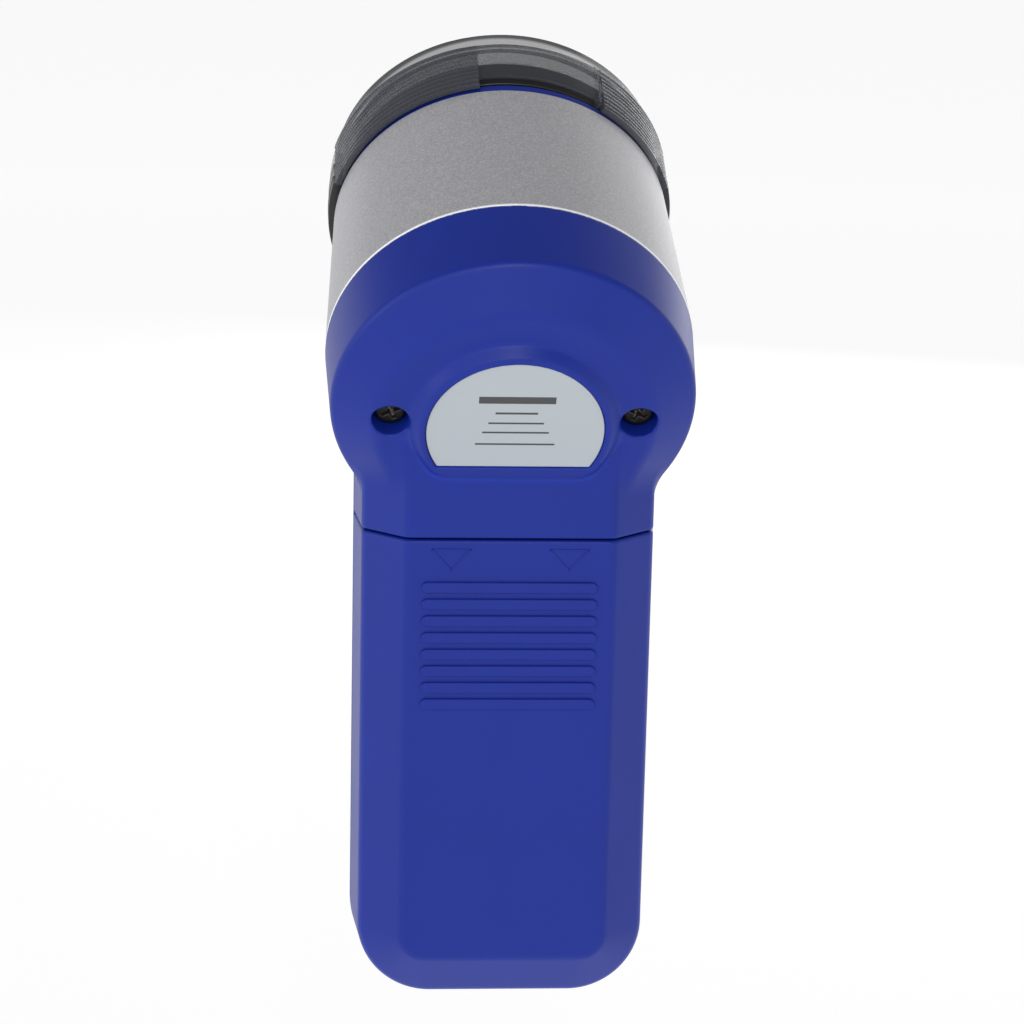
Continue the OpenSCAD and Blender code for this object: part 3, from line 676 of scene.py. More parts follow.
def handle_field(s, x, y, z):
    """Distance to the handle's outside: flat, chamfers, sides and the round front."""
    slope = soft_max((y - s.flank) / s.chamfer_depth, 0 * y, 0.10)
    flare = np.clip((s.flank - y) / s.side_depth, 0, 1)
    half = s.half + (WIDE - s.half) * flare - s.chamfer_width * slope
    foot = s.foot_height * slope
    corner = np.maximum(s.corner_radius - 6.5 * slope, 1.0)
    in_x = np.abs(x) - (half - corner)
    in_z = foot + corner - z
    side = np.hypot(np.maximum(in_x, 0), np.maximum(in_z, 0)) + np.minimum(np.maximum(in_x, in_z), 0)
    side = (side - corner) / (1 + 0.43 * np.clip(slope * 8, 0, 1))
    closed = soft_max(side, y - s.back, s.edge)
    closed = round_max(closed, FRONT - y, s.front_radius)
    return soft_max(closed, z - s.handle_top, 1.2)


def head_field(s, u, v, w):
    """Distance to the round back of the head."""
    radius = np.hypot(u, v)
    taper = (COLLAR_R - s.head_edge_radius) / (COLLAR_START - s.head_edge_depth)
    side = (radius - s.head_edge_radius - taper * (w - s.head_edge_depth)) / math.hypot(1, taper)
    lean = (s.head_edge_radius - s.head_flat_radius) / s.head_edge_depth
    chamfer = (radius - s.head_flat_radius - lean * w) / math.hypot(1, lean)
    return soft_max(soft_max(side, chamfer, s.edge), -w, s.edge)


def body_field(s, x, y, z, u, v, w):
    """Handle and head run together, with fillets that grow towards the back."""
    reach = 1.3 + 0.85 * np.clip((y - s.flank) / s.chamfer_depth, 0, 1)
    head = soft_max(head_field(s, u, v, w), w - COLLAR_START - 4, 0.4)
    return soft_min(handle_field(s, x, y, z), head, reach)


def boss_field(s, u, v, w):
    """Sloping round boss with a straight foot."""
    lean = s.boss_slope / s.boss_height
    cone = (np.hypot(u, v) - s.boss_radius - lean * w) / math.hypot(1, lean)
    foot = (-s.boss_chord - v - lean * w * 0.4) / math.hypot(1, lean * 0.4)
    closed = soft_max(cone, foot, 1.2)
    return np.maximum(soft_max(closed, -s.boss_height - w, 0.3), w - 2.5)


def rear_field(s, x, y, z):
    """Rear case: shell, plate boss and pocket, screw posts and sunk screw holes."""
    u, v, w = head_axes(x, y, z)
    body = body_field(s, x, y, z, u, v, w)
    skin = soft_min(body, boss_field(s, u, v, w), 0.25)
    screw = np.hypot(np.abs(u) - s.screw_across, v - s.screw_rise)
    shell = np.maximum(skin, -(body + s.wall))
    post_wall, shank_hole, post_end = 1.2, 1.2, s.screw_sink + 2.0
    post = np.abs(w - post_end / 2 - 0.4) - post_end / 2 + 0.4
    post = np.maximum(screw - s.screw_hole - post_wall, post)
    shell = np.minimum(shell, np.maximum(post, skin))
    pocket = np.maximum(np.hypot(u, v) - PLATE_R - 0.1, -low_chord() - 0.1 - v)
    pocket = np.maximum(pocket, w - PLATE_END - 0.02)
    shell = soft_max(shell, -pocket, 0.25)
    shell = soft_max(shell, -np.maximum(screw - s.screw_hole, w - s.screw_sink), 0.35)
    shell = np.maximum(shell, shank_hole - screw)
    shell = soft_max(shell, w - COLLAR_START, 0.25)
    shell = soft_max(shell, COVER_TOP + s.joint_gap - z, 0.4)
    return soft_max(shell, s.parting + s.joint_gap - y, 0.3)


def cover_field(s, x, y, z):
    """Battery cover: shell of the handle up to its top edge, with the tongue of its catch."""
    outside = handle_field(s, x, y, z)
    shell = np.maximum(outside, -(outside + s.wall))
    shell = soft_max(shell, z - COVER_TOP + s.joint_gap, 0.4)
    half_width, half_thick, half_height = 9, 0.4, 2.5
    tongue = np.maximum(np.abs(x) - half_width, np.abs(y - s.back + s.wall + 0.7) - half_thick)
    tongue = soft_max(tongue, np.abs(z - COVER_TOP + 0.5) - half_height, 0.3)
    shell = np.minimum(shell, tongue)
    return soft_max(shell, s.parting + s.joint_gap - y, 0.3)


def front_field(s, x, y, z):
    """Front case: shell, the shelf across the head, the collar's seat and the switch's slot."""
    u, v, w = head_axes(x, y, z)
    body = body_field(s, x, y, z, u, v, w)
    shell = np.maximum(body, -(body + s.wall))
    shelf_w = COLLAR_START - 1.2
    shelf = np.maximum(body + s.wall / 2, np.abs(w - shelf_w) - 1.1)
    shelf = np.maximum(shelf, SHELF_BORE - np.hypot(u, v))
    shell = np.minimum(shell, shelf)
    collar = np.maximum(np.hypot(u, v) - COLLAR_R - 0.3, COLLAR_START - w)
    shell = soft_max(shell, -collar, 0.4)
    slot_low, slot_high = switch_slot()
    slot_half = 1.8
    slot = np.maximum(np.abs(x) - slot_half, np.maximum(slot_low - z, z - slot_high))
    slot = np.maximum(slot, y - FRONT - 4)
    shell = soft_max(shell, -slot, 0.3)
    return soft_max(shell, y - s.parting + s.joint_gap, 0.3)


def switch_slot():
    """Lowest and highest ends of the slot that the knob's stem runs in."""
    middle = (low("switch_slider")[2] + high("switch_slider")[2]) / 2
    reach = 2.3
    return middle - reach, middle + reach + travel("switch_slide")


def low_chord():
    """Distance of the name plate's straight edge below the head's centre."""
    return -in_head(node_points("name_plate"))[:, 1].min()


def head_axes(x, y, z):
    """Coordinates in the head's frame, one array each."""
    dy, dz = y - HEAD[1], z - HEAD[2]
    return x + 0 * y + 0 * z, RISE.y * dy + RISE.z * dz + 0 * x, AXIS.y * dy + AXIS.z * dz + 0 * x


def form(field, low_corner, high_corner, step):
    """Quad mesh of a field's zero surface, with its points moved onto the true surface."""
    axes = [np.arange(a - 2 * step, b + 3 * step, step) for a, b in zip(low_corner, high_corner)]
    samples = field(axes[0][:, None, None], axes[1][None, :, None], axes[2][None, None, :])
    shape = samples.shape
    cells, crossings = [], []
    for axis in range(3):
        first = [slice(1, -1)] * 3
        second = [slice(1, -1)] * 3
        first[axis], second[axis] = slice(0, -1), slice(1, None)
        a, b = samples[tuple(first)], samples[tuple(second)]
        base = np.argwhere((a < 0) != (b < 0))
        at = tuple(base.T)
        a, b = a[at], b[at]
        offset = np.ones(3, int)
        offset[axis] = 0
        base = base + offset
        point = base.astype(float)
        point[:, axis] += a / (a - b)
        step_u, step_v = np.eye(3, dtype=int)[(axis + 1) % 3], np.eye(3, dtype=int)[(axis + 2) % 3]
        around = np.stack([base, base - step_u, base - step_u - step_v, base - step_v], 1)
        around[a > 0] = around[a > 0][:, ::-1]
        cells.append(around.reshape(-1, 3))
        crossings.append(np.repeat(point, 4, axis=0))
    cells, crossings = np.vstack(cells), np.vstack(crossings)
    keys = np.ravel_multi_index(cells.T, shape)
    _, index = np.unique(keys, return_inverse=True)
    counts = np.bincount(index)
    points = np.stack([np.bincount(index, crossings[:, k]) / counts for k in range(3)], 1)
    points = points * step + [axis[0] for axis in axes]
    points = settle(field, points, step)
    return points, index.reshape(-1, 4), edge_values(field, points)


def edge_values(field, points, reach=0.6):
    """1 where a surface turns an outward edge: there the field grows too slowly just outside."""
    value, slope = value_and_slope(field, points, 0.05)
    size = np.maximum(np.linalg.norm(slope, axis=1), 1e-6)
    outside = points + slope / size[:, None] * reach
    growth = (field(*outside.T) - value) / (size * reach)
    return np.clip((0.985 - growth) / 0.12, 0, 1)


def value_and_slope(field, points, tiny):
    """A field's value and its gradient at some points."""
    x, y, z = points.T
    slope = np.stack([field(x + tiny, y, z) - field(x - tiny, y, z),
                      field(x, y + tiny, z) - field(x, y - tiny, z),
                      field(x, y, z + tiny) - field(x, y, z - tiny)], 1) / (2 * tiny)
    return field(x, y, z), slope


def settle(field, points, step):
    """Moves points along the field's slope onto its zero surface."""
    tiny = step * 0.1
    for _ in range(2):
        value, slope = value_and_slope(field, points, tiny)
        size = np.maximum((slope ** 2).sum(1), 0.25)
        move = (value / size)[:, None] * slope
        far = np.linalg.norm(move, axis=1)
        move *= np.minimum(1, 0.4 * step / np.maximum(far, 1e-9))[:, None]
        points = points - move
    return points


# ---- details that stand on the mouldings ----

def raised_bar(centre, along, across, out, half_length, half_width, height, ends=8):
    """Bar with round ends and a softened top, standing on a flat."""
    centre, along, across, out = (np.array(v, float) for v in (centre, along, across, out))
    soft = height * 0.35
    levels = [(0.0, -0.15), (0.0, height - soft), (soft * 0.3, height - soft * 0.3), (soft, height)]
    rings = []
    for inset, level in levels:
        radius = max(half_width - inset, 0.04)
        ring = []
        for end in (1, -1):
            for i in range(ends + 1):
                a = math.pi * i / ends - math.pi / 2
                local = (end * (half_length - half_width + radius * math.cos(a)), end * radius * math.sin(a))
                ring.append(centre + along * local[0] + across * local[1] + out * level)
        rings.append(ring)
    points, faces = loop_grid(rings, closed_round=False)
    size = len(rings[0])
    top = (len(rings) - 1) * size
    return points, faces + [list(range(top, top + size)), list(range(size))[::-1]]


def outline_triangle(centre, across, up, out, width, height, line, raise_by):
    """Outlined arrow head that points down."""
    corners = [(-width / 2, height / 2), (width / 2, height / 2), (0, -height / 2)]
    parts = []
    for i in range(3):
        a, b = np.array(corners[i]), np.array(corners[(i + 1) % 3])
        middle, run = (a + b) / 2, b - a
        size = np.linalg.norm(run)
        run = run / size
        along = np.array(across) * run[0] + np.array(up) * run[1]
        side = np.cross(np.array(out), along)
        place = np.array(centre) + np.array(across) * middle[0] + np.array(up) * middle[1]
        parts.append(raised_bar(place, along, side, out, size / 2 + line / 2, line / 2, raise_by, ends=4))
    return join_parts(*parts)


class RearCase(bpy.types.Operator):
    """Forms the rear case with its plate boss and sunk screw holes"""
    bl_idname = "shaver.rear_case"
    bl_label = "Rear Case"

    def execute(self, context):
        s = Sizes()
        shell = form(lambda x, y, z: rear_field(s, x, y, z),
                     low("rear_case"), high("rear_case"), s.grid_size)
        add_piece("rear_case_shell", "rear_case", *shell, smooth=60)
        return {"FINISHED"}


class BatteryCover(bpy.types.Operator):
    """Forms the sliding battery cover with its grip ribs and arrows"""
    bl_idname = "shaver.battery_cover"
    bl_label = "Battery Cover"

    def execute(self, context):
        s = Sizes()
        shell = form(lambda x, y, z: cover_field(s, x, y, z),
                     low("battery_cover"), high("battery_cover"), s.grid_size)
        parts = [shell]
        for i in range(RIB_COUNT):
            height = COVER_TOP - RIB_START - RIB_PITCH * i
            parts.append(raised_bar((0, s.back, height), (1, 0, 0), (0, 0, 1), (0, 1, 0), *RIB_SIZE))
        for side in (-1, 1):
            place = (side * ARROW_ACROSS, s.back, COVER_TOP - ARROW_DROP)
            parts.append(outline_triangle(place, (-1, 0, 0), (0, 0, 1), (0, 1, 0), *ARROW_SIZE))
        add_piece("battery_cover_shell", "battery_cover", *join_parts(*parts), smooth=60)
        return {"FINISHED"}


class FrontCase(bpy.types.Operator):
    """Forms the front case with the motor barrel and the blue front ring"""
    bl_idname = "shaver.front_case"
    bl_label = "Front Case"

    def execute(self, context):
        s = Sizes()
        top = high("front_case").copy()
        top[2] = s.handle_top + 1
        bottom = low("front_case").copy()
        bottom[1] = FRONT - 0.2
        shell = form(lambda x, y, z: front_field(s, x, y, z), bottom, (top[0], s.parting, top[2]),
                     s.grid_size)
        ring_start, ring_end = COLLAR_END + 0.1, head_reach("front_case")[1]
        shelf_start, shelf_end = COLLAR_START - 2.3, COLLAR_START - 0.1
        barrel = COLLAR_R - 2.12
        bore, ring = barrel - 1.6, barrel + 0.46
        outline = rounded([
            (SHELF_BORE, shelf_start), (bore, shelf_start), (barrel, shelf_start), (barrel, ring_start),
            (ring, ring_start), (ring, ring_end), (bore, ring_end), (bore, shelf_end),
            (SHELF_BORE, shelf_end)], 0.25)
        add_piece("front_case_shell", "front_case", *join_parts(shell, revolve(outline[::-1])), smooth=60)
        return {"FINISHED"}


class Collar(bpy.types.Operator):
    """Turns the painted collar round the head"""
    bl_idname = "shaver.collar"
    bl_label = "Head Collar"

    def execute(self, context):
        front = in_head(node_points("head_collar"))
        front_r = np.hypot(front[:, 0], front[:, 1])[front[:, 2] > COLLAR_END - 0.1].max()
        wall, segments = 0.9, 256
        inner, start = front_r - wall, COLLAR_START + 0.02
        steps = np.append([0, 0.016], np.linspace(0.05, 1, 11))
        side = [(COLLAR_R + (front_r - COLLAR_R) * t, start + (COLLAR_END - COLLAR_START) * t)
                for t in steps]
        outline = rounded([(inner, start)] + side + [(inner, COLLAR_END)], 0.28)
        points, faces = revolve(outline[::-1], segments)
        # Points along the collar's back edge that get the painted highlight line.
        bright = [float(w < COLLAR_START + 0.3 and r > inner + 0.5) for r, w in outline[::-1]]
        add_piece("collar_shell", "head_collar", points, faces, np.tile(bright, segments), smooth=60)
        return {"FINISHED"}


class NamePlate(bpy.types.Operator):
    """Cuts the foil name plate"""
    bl_idname = "shaver.name_plate"
    bl_label = "Name Plate"

    def execute(self, context):
        chord = low_chord()
        half = math.acos(-chord / PLATE_R)
        arc = [(PLATE_R * math.sin(a), PLATE_R * math.cos(a)) for a in np.linspace(-half, half, 97)]
        rings = []
        for inset, w in ((0.0, PLATE_END), (0.0, PLATE_START + 0.08), (0.03, PLATE_START + 0.02),
                         (0.10, PLATE_START)):
            rings.append([(u * (1 - inset / PLATE_R), v * (1 - inset / PLATE_R), w) for u, v in arc])
        points, faces = loop_grid(rings, closed_round=False)
        size = len(arc)
        faces += [list(range(size))[::-1], list(range(3 * size, 4 * size))]
        add_piece("name_plate_foil", "name_plate", from_head(points), faces, smooth=35)
        return {"FINISHED"}


class CaseScrews(bpy.types.Operator):
    """Makes the two cross-head case screws"""
    bl_idname = "shaver.case_screws"
    bl_label = "Case Screws"

    def execute(self, context):
        s = Sizes()
        start, end, _ = head_reach("case_screws")
        head_top, neck = start + 0.02, s.screw_sink
        head_radius, cross_depth, slot_half, slot_reach = 1.97, 1.3, 0.27, 1.2
        sides, pitch, crest_radius, thread_depth, tip_length = 32, 0.8, 0.98, 0.22, 1.2

        def head(u, v, w):
            radius = np.hypot(u, v)
            thick = np.abs(w - (head_top + neck) / 2) - (neck - head_top) / 2
            disc = soft_max(radius - head_radius, thick, 0.5)
            depth = head_top + cross_depth - radius * 0.55
            cross = np.minimum(np.maximum(np.abs(u) - slot_half, np.abs(v) - slot_reach),
                               np.maximum(np.abs(v) - slot_half, np.abs(u) - slot_reach))
            return soft_max(disc, -np.maximum(cross, w - depth), 0.12)

        parts = []
        blank = form(head, (-2, -2, head_top), (2, 2, neck), 0.07)
        shank = []
        for i in range(sides):
            turn = 2 * math.pi * i / sides
            column = [(0.01 * math.cos(turn), 0.01 * math.sin(turn), neck - 0.1)]
            for w in np.linspace(neck - 0.1, end, 120):
                wave = (w / pitch - turn / (2 * math.pi)) % 1
                crest = crest_radius - thread_depth * abs(wave - 0.5) * 2
                fade = min(1.0, (end - w) / tip_length + 0.25)
                column.append((crest * fade * math.cos(turn), crest * fade * math.sin(turn), w))
            column.append((0.01 * math.cos(turn), 0.01 * math.sin(turn), end))
            shank.append(column)
        screw = join_parts(blank, loop_grid(shank))
        for side, turn in ((-1, 0.5), (1, 1.1)):
            c, t = math.cos(turn), math.sin(turn)
            points = screw[0] @ np.array([[c, t, 0], [-t, c, 0], [0, 0, 1]])
            parts.append((from_head(points + [side * s.screw_across, s.screw_rise, 0]), *screw[1:]))
        add_piece("case_screw_pair", "case_screws", *join_parts(*parts))
        return {"FINISHED"}


class Cap(bpy.types.Operator):
    """Moulds the smoke cap with its window, ribbed grips and side notches"""
    bl_idname = "shaver.cap"
    bl_label = "Protective Cap"

    def execute(self, context):
        window = math.radians(-12)
        half_window = math.radians(21.5)
        notch = math.radians(16)
        step = CAP_END - 4.1
        outer = CAP_R - 0.3
        inner = outer - 0.65
        front = outer - 0.66
        tip = CAP_END - 0.06
        skirt = CAP_START
        window_edge = CAP_START + 1.9
        notch_edge = CAP_END - 5.9
        corner, groove_depth = 1.2, 0.045

        def column(turn, kind):
            grip = kind == "grip"
            tail = {"grip": skirt, "wall": skirt + 0.3, "window": window_edge, "notch": notch_edge}[kind]
            points = [(r, tip) for r in np.linspace(0.001, front - corner, 9)]
            points += [(front - corner + corner * math.sin(a), tip - corner + corner * math.cos(a))
                       for a in np.linspace(0.2, math.pi / 2, 7)]
            points += [(front, step + 0.25), (front + 0.12, step + 0.05)]
            lift = CAP_R - outer if kind in ("grip", "wall") else 0.0
            points += [(outer + lift * 0.4, step - 0.12), (outer + lift, step - 0.5)]
            ribs = np.linspace(step - 0.8, tail + 0.35, 97)
            for w in ribs:
                groove = groove_depth * (1 - math.cos(2 * math.pi * w / RIDGE_PITCH)) if grip else 0.0
                points.append((outer + lift - groove, w))
            points += [(outer + lift - 0.08, tail + 0.08), (outer + lift - 0.25, tail), (inner + 0.1, tail),
                       (inner, tail + 0.1), (inner, step - 0.2), (front - 1.1, step + 0.6),
                       (front - 1.1, CAP_END - 1.5), (front - 1.5, CAP_END - 1.2), (0.001, CAP_END - 1.2)]
            return [(r * math.sin(turn), r * math.cos(turn), w) for r, w in points]

        wall = math.radians(1.1)
        first = window - half_window
        bounds = [(-math.pi / 2 + notch, first, "grip"),
                  (first, first + wall, "window"),
                  (first + wall, first + 2 * wall, "wall"),
                  (first + 2 * wall, window + half_window, "window"),
                  (window + half_window, math.pi / 2 - notch, "grip"),
                  (math.pi / 2 - notch, math.pi / 2 + notch, "notch"),
                  (math.pi / 2 + notch, math.pi + window - half_window, "grip"),
                  (math.pi + window - half_window, math.pi + window + half_window, "window"),
                  (math.pi + window + half_window, 3 * math.pi / 2 - notch, "grip"),
                  (3 * math.pi / 2 - notch, 3 * math.pi / 2 + notch, "notch")]
        columns, thick = [], []
        for start, end, kind in bounds:
            count = max(3, int(math.degrees(end - start) / 1.5))
            added = [column(a, kind) for a in np.linspace(start, end, count)]
            columns += added
            thick += [kind == "grip" and w < step for points in added for _, _, w in points]
        points, faces = loop_grid(columns)
        add_piece("cap_shell", "protective_cap", from_head(points), [f[::-1] for f in faces],
                  np.array(thick, float), smooth=35)
        return {"FINISHED"}


class BladeUnit(bpy.types.Operator):
    """Turns the black blade frame and finishes the slotted outer blade and its retainer"""
    bl_idname = "shaver.blade_unit"
    bl_label = "Blade Unit"

    def execute(self, context):
        edge = CAP_START + 1.4
        body_r, plug_r = CAP_R - 1.3, COLLAR_R - 4.02
        blade_start, _, blade_r = head_reach("outer_blade")
        lip, inner, blade = blade_r - 1.2, blade_r + 0.1, blade_start + 0.45
        outline = rounded([
            (inner, FRAME_START), (plug_r, FRAME_START), (plug_r, edge), (body_r, edge),
            (body_r, edge + 1.6), (body_r - 0.15, edge + 2.0), (body_r - 0.15, edge + 4.6),
            (body_r - 1.2, FRAME_END), (lip, FRAME_END), (lip, blade), (inner, blade)], 0.22)
        stand, ridge_depth = FRAME_GRIP_R - 0.12 - body_r, 0.10

        def grip(turn, points):
            off = abs(abs((turn + math.pi) % (2 * math.pi) - math.pi) - math.pi / 2)
            rise = min(max((math.radians(15) - off) / math.radians(1.2), 0), 1)
            lifted = []
            for r, w in points:
                on_side = r > body_r - 0.35 and w < edge + 5.2
                ridged = 0.3 < w - edge < 5
                crest = ridge_depth * math.cos((w - edge) * 2 * math.pi / RIDGE_PITCH) * ridged
                lifted.append((r + rise * (stand + crest) * on_side, w))
            return lifted

        points, faces = revolve(outline[::-1], 360, grip)
        add_piece("blade_frame_ring", "blade_frame", points, faces, smooth=35)
        refined("outer_blade", 0.05)
        refined("blade_retainer", 0.15)
        return {"FINISHED"}


def coil(wire, reach, start, end, turns, steps, closed=0.0, centre=(0, 0)):
    """Coil spring that stands up Z; closed is the share of its run that lies flat at each end."""
    path = []
    for i in range(steps + 1):
        t = i / steps
        rise = min(max((t - closed) / (1 - 2 * closed), 0), 1)
        a = 2 * math.pi * turns * t
        path.append((centre[0] + (reach - wire) * math.cos(a), centre[1] + (reach - wire) * math.sin(a),
                     start + wire + (end - start - 2 * wire) * rise))
    return tube(path, wire)


class Cutter(bpy.types.Operator):
    """Finishes the inner cutter, its hub, the drive coupling and their spring"""
    bl_idname = "shaver.cutter"
    bl_label = "Inner Cutter"

    def execute(self, context):
        refined("cutter_hub", 0.15)
        refined("cutter_blades", 0.03)
        refined("drive_coupling", 0.12)
        start, end, reach = head_reach("coupling_spring")
        points, faces = coil(0.35, reach, start, end, 3, 96)
        add_piece("coupling_coil", "coupling_spring", from_head(points), faces)
        return {"FINISHED"}


class Motor(bpy.types.Operator):
    """Finishes the motor, its deck, screws and seal"""
    bl_idname = "shaver.motor"
    bl_label = "Motor"

    def execute(self, context):
        for node, width in (("motor_shaft", 0.15), ("motor_armature", 0.12), ("motor_can", 0.3),
                            ("motor_magnets", 0.12), ("motor_end_bell", 0.15), ("motor_deck", 0.15),
                            ("motor_screws", 0.15), ("shaft_seal", 0.08)):
            refined(node, width)
        return {"FINISHED"}


class Cells(bpy.types.Operator):
    """Makes the two dry cells with crimped ends and plus nubs"""
    bl_idname = "shaver.cells"
    bl_label = "Dry Cells"

    def execute(self, context):
        nub, segments = 1.2, 96
        for node, up in (("cell_left", True), ("cell_right", False)):
            bottom, top = low(node), high(node)
            centre = (bottom + top) / 2
            radius = (top[0] - bottom[0]) / 2
            size = top[2] - bottom[2]
            body = size - nub
            outline = [(0.01, 0), (4.6, 0), (4.9, 0.12), (5.2, 0.3), (radius - 1.0, 0.35),
                       (radius - 0.9, 0.1), (radius - 0.35, 0.0), (radius - 0.08, 0.14),
                       (radius, 0.45), (radius, 1.6),
                       (radius - 0.1, 1.75), (radius - 0.1, 2.0), (radius, 2.15), (radius, body - 0.7),
                       (radius - 0.12, body - 0.25), (radius - 0.5, body), (radius - 1.0, body - 0.1),
                       (radius - 1.1, body - 0.4), (3.6, body - 0.35), (3.2, body - 0.05), (2.75, body),
                       (2.7, size - 0.3), (2.5, size), (0.01, size)]
            outline = rounded(outline, 0.06, 2)
            columns = []
            for i in range(segments):
                turn = 2 * math.pi * i / segments
                columns.append([(centre[0] + r * math.cos(turn), centre[1] + r * math.sin(turn),
                                 bottom[2] + h if up else top[2] - h) for r, h in outline])
            points, faces = loop_grid(columns)
            add_piece(node + "_can", node, points, faces if up else [f[::-1] for f in faces])
        return {"FINISHED"}


class BatteryBay(bpy.types.Operator):
    """Finishes the battery tray, contacts, springs and leads"""
    bl_idname = "shaver.battery_bay"
    bl_label = "Battery Bay"

    def execute(self, context):
        refined("battery_chassis", 0.2)
        for node in ("bridge_contact", "plus_contact", "minus_contact", "switch_strip"):
            refined(node, 0.08)
        for node in ("bridge_spring", "minus_spring"):
            bottom, top = low(node), high(node)
            points, faces = coil(0.33, (top[0] - bottom[0]) / 2, bottom[2], top[2], 3.5, 98,
                                 closed=0.12, centre=(bottom + top) / 2)
            add_piece(node + "_coil", node, points, faces)
        for node in ("red_lead", "black_lead"):
            refined(node, 0.05, 1, 60)
        return {"FINISHED"}


class Switch(bpy.types.Operator):
    """Forms the ribbed switch knob and finishes its slider"""
    bl_idname = "shaver.switch"
    bl_label = "Switch"

    def execute(self, context):
        bottom, top = low("switch_knob"), high("switch_knob")
        middle = (bottom + top) / 2
        half = (top - bottom) / 2
        face = bottom[1]
        back = FRONT - 0.15
        corner, wave, wave_pitch = 2.2, 0.16, 1.5
        stem_z = (low("switch_slider")[2] + high("switch_slider")[2]) / 2

        def knob(x, y, z):
            dx, dz = np.abs(x - middle[0]), np.abs(z - middle[2])
            qx, qz = dx - half[0] + corner, dz - half[2] + corner
            rim = np.hypot(np.maximum(qx, 0), np.maximum(qz, 0))
            rim = rim + np.minimum(np.maximum(qx, qz), 0) - corner
            dish = 0.35 * np.cos(np.clip(dz / half[2], 0, 1) * math.pi / 2)
            outer = soft_max(rim + (back - y) * 0.12, np.maximum(face + dish - y, y - back), 0.6)
            waves = wave * np.cos(dz * 2 * math.pi / wave_pitch) * (dz < 3.4) * (dx < half[0] - 1.2)
            outer = np.maximum(outer, face + dish + wave + waves - y)
            stem = np.maximum(dx - 1.5, np.maximum(np.abs(z - stem_z) - 2.0, np.abs(y - back - 1.1) - 1.3))
            return np.minimum(outer, stem)

        add_piece("switch_knob_cap", "switch_knob", *form(knob, bottom, top, 0.12))
        refined("switch_slider", 0.12)
        return {"FINISHED"}


# ---- stage ----

def area_light(name, place, target, size, power):
    """Soft rectangular light that faces a target."""
    data = bpy.data.lights.new(name, "AREA")
    data.shape = "RECTANGLE"
    data.size, data.size_y = size
    data.energy = power
    lamp = bpy.data.objects.new(name, data)
    lamp.location = place
    lamp.rotation_euler = (Vector(target) - Vector(place)).to_track_quat("-Z", "Y").to_euler()
    bpy.context.scene.collection.objects.link(lamp)


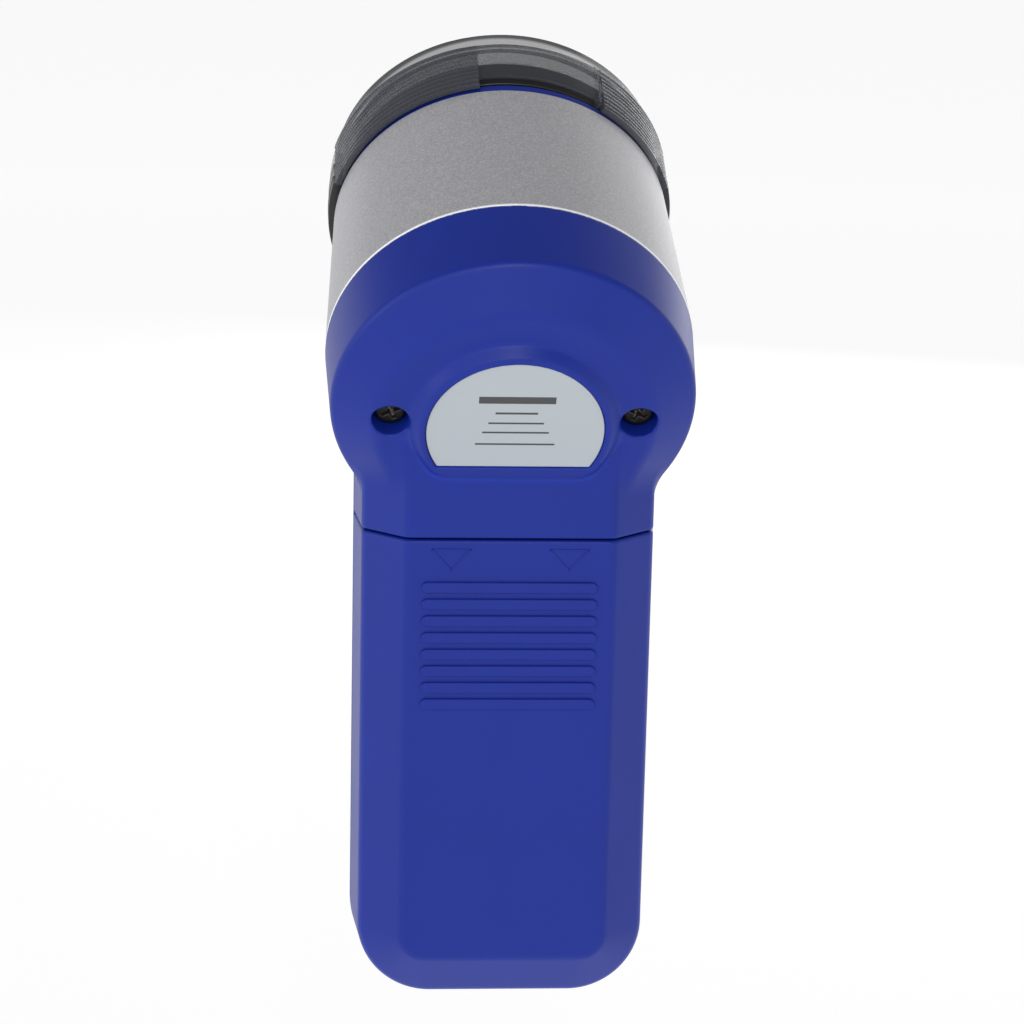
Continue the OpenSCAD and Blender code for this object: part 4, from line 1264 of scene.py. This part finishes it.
class Stage(bpy.types.Operator):
    """Adds the pale sweep, the lights, the world and the camera"""
    bl_idname = "shaver.stage"
    bl_label = "Stage"

    def execute(self, context):
        self.sweep()
        middle = Vector((0, 0.0, 0.065))
        area_light("key", (0.40, 0.75, 0.42), middle, (0.6, 0.4), 1.0)
        area_light("crest", (0.0, 0.86, 0.44), middle, (0.18, 0.12), 1.4)
        area_light("left", (0.78, 0.25, 0.25), middle, (0.3, 0.6), 1.1)
        area_light("front", (-0.25, -0.75, 0.30), middle, (0.6, 0.6), 1.8)
        world = bpy.data.worlds.new("studio")
        world.use_nodes = True
        world.node_tree.nodes["Background"].inputs["Color"].default_value = (1, 1, 1, 1)
        world.node_tree.nodes["Background"].inputs["Strength"].default_value = 0.36
        context.scene.world = world
        context.scene.view_settings.view_transform = "Standard"
        self.camera(context)
        return {"FINISHED"}

    def sweep(self):
        """Round pale floor that curves up far from the object, low enough for the opened cover."""
        flat, radius, level = 1.5, 1.0, -(COVER_TRAVEL + 3) * MM
        profile = [(0.02, level), (0.4, level), (flat, level)]
        profile += [(flat + radius * math.sin(a), level + radius - radius * math.cos(a))
                    for a in np.linspace(0.05, math.radians(75), 18)]
        segments = 64
        points = [(r * math.cos(a), r * math.sin(a), z)
                  for a in np.linspace(0, 2 * math.pi, segments, endpoint=False) for r, z in profile]
        size = len(profile)
        faces = []
        for i in range(segments):
            here, after = i * size, (i + 1) % segments * size
            faces += [(here + j, here + j + 1, after + j + 1, after + j) for j in range(size - 1)]
        faces.append([i * size for i in range(segments)])
        mesh = bpy.data.meshes.new("sweep")
        mesh.from_pydata(points, [], faces)
        mesh.shade_smooth()
        floor = bpy.data.objects.new("sweep", mesh)
        bpy.context.scene.collection.objects.link(floor)
        finish = Finish("paper", (0.2, 0.2, 0.2, 1), 0.85)
        fibres = finish.noise(0.6, 4)
        finish.set("Base Color", finish.mix(fibres, (0.195, 0.195, 0.195, 1), (0.205, 0.205, 0.205, 1)))
        finish.set("Emission Color", (1, 1, 1, 1))
        finish.set("Emission Strength", 0.83)
        finish.bump(fibres, 0.01)
        mesh.materials.append(finish.material)

    def camera(self, context):
        """Camera behind the shaver, a little above it."""
        target = Vector((-0.0002, 0.0095, 0.0653))
        distance = 0.3573
        turn, height, roll = (math.radians(angle) for angle in (4.22, 13.04, 1.283))
        ray = Vector((math.sin(turn) * math.cos(height), math.cos(turn) * math.cos(height),
                      math.sin(height)))
        data = bpy.data.cameras.new("camera")
        data.lens = 100.3
        data.sensor_width = 36.0
        data.clip_start = 0.01
        camera = bpy.data.objects.new("camera", data)
        turned_to = (-ray).to_track_quat("-Z", "Y").to_matrix() @ Matrix.Rotation(roll, 3, "Z")
        camera.matrix_world = Matrix.Translation(target + ray * distance) @ turned_to.to_4x4()
        context.scene.collection.objects.link(camera)
        context.scene.camera = camera


OPERATORS = [Stage, RearCase, BatteryCover, FrontCase, Collar, NamePlate, CaseScrews, Cap, BladeUnit,
             Cutter, Motor, Cells, BatteryBay, Switch]


class ShaverPanel(bpy.types.Panel):
    """Lists the pieces and the values they are made from"""
    bl_idname = "VIEW3D_PT_shaver"
    bl_label = "Shaver"
    bl_space_type = "VIEW_3D"
    bl_region_type = "UI"
    bl_category = "Shaver"

    def draw(self, context):
        for operator in OPERATORS:
            self.layout.operator(operator.bl_idname)
        for group in (context.scene.shaver_sizes, context.scene.shaver_colours):
            for name in group.__annotations__:
                self.layout.prop(group, name)


CLASSES = [ShaverSizes, ShaverColours, *OPERATORS, ShaverPanel]


def register():
    for item in CLASSES:
        bpy.utils.register_class(item)
    bpy.types.Scene.shaver_sizes = bpy.props.PointerProperty(type=ShaverSizes)
    bpy.types.Scene.shaver_colours = bpy.props.PointerProperty(type=ShaverColours)


def unregister():
    del bpy.types.Scene.shaver_colours
    del bpy.types.Scene.shaver_sizes
    for item in reversed(CLASSES):
        bpy.utils.unregister_class(item)


def main():
    register()
    for operator in OPERATORS:
        group, name = operator.bl_idname.split(".")
        getattr(getattr(bpy.ops, group), name)()


if __name__ == "__main__":
    main()
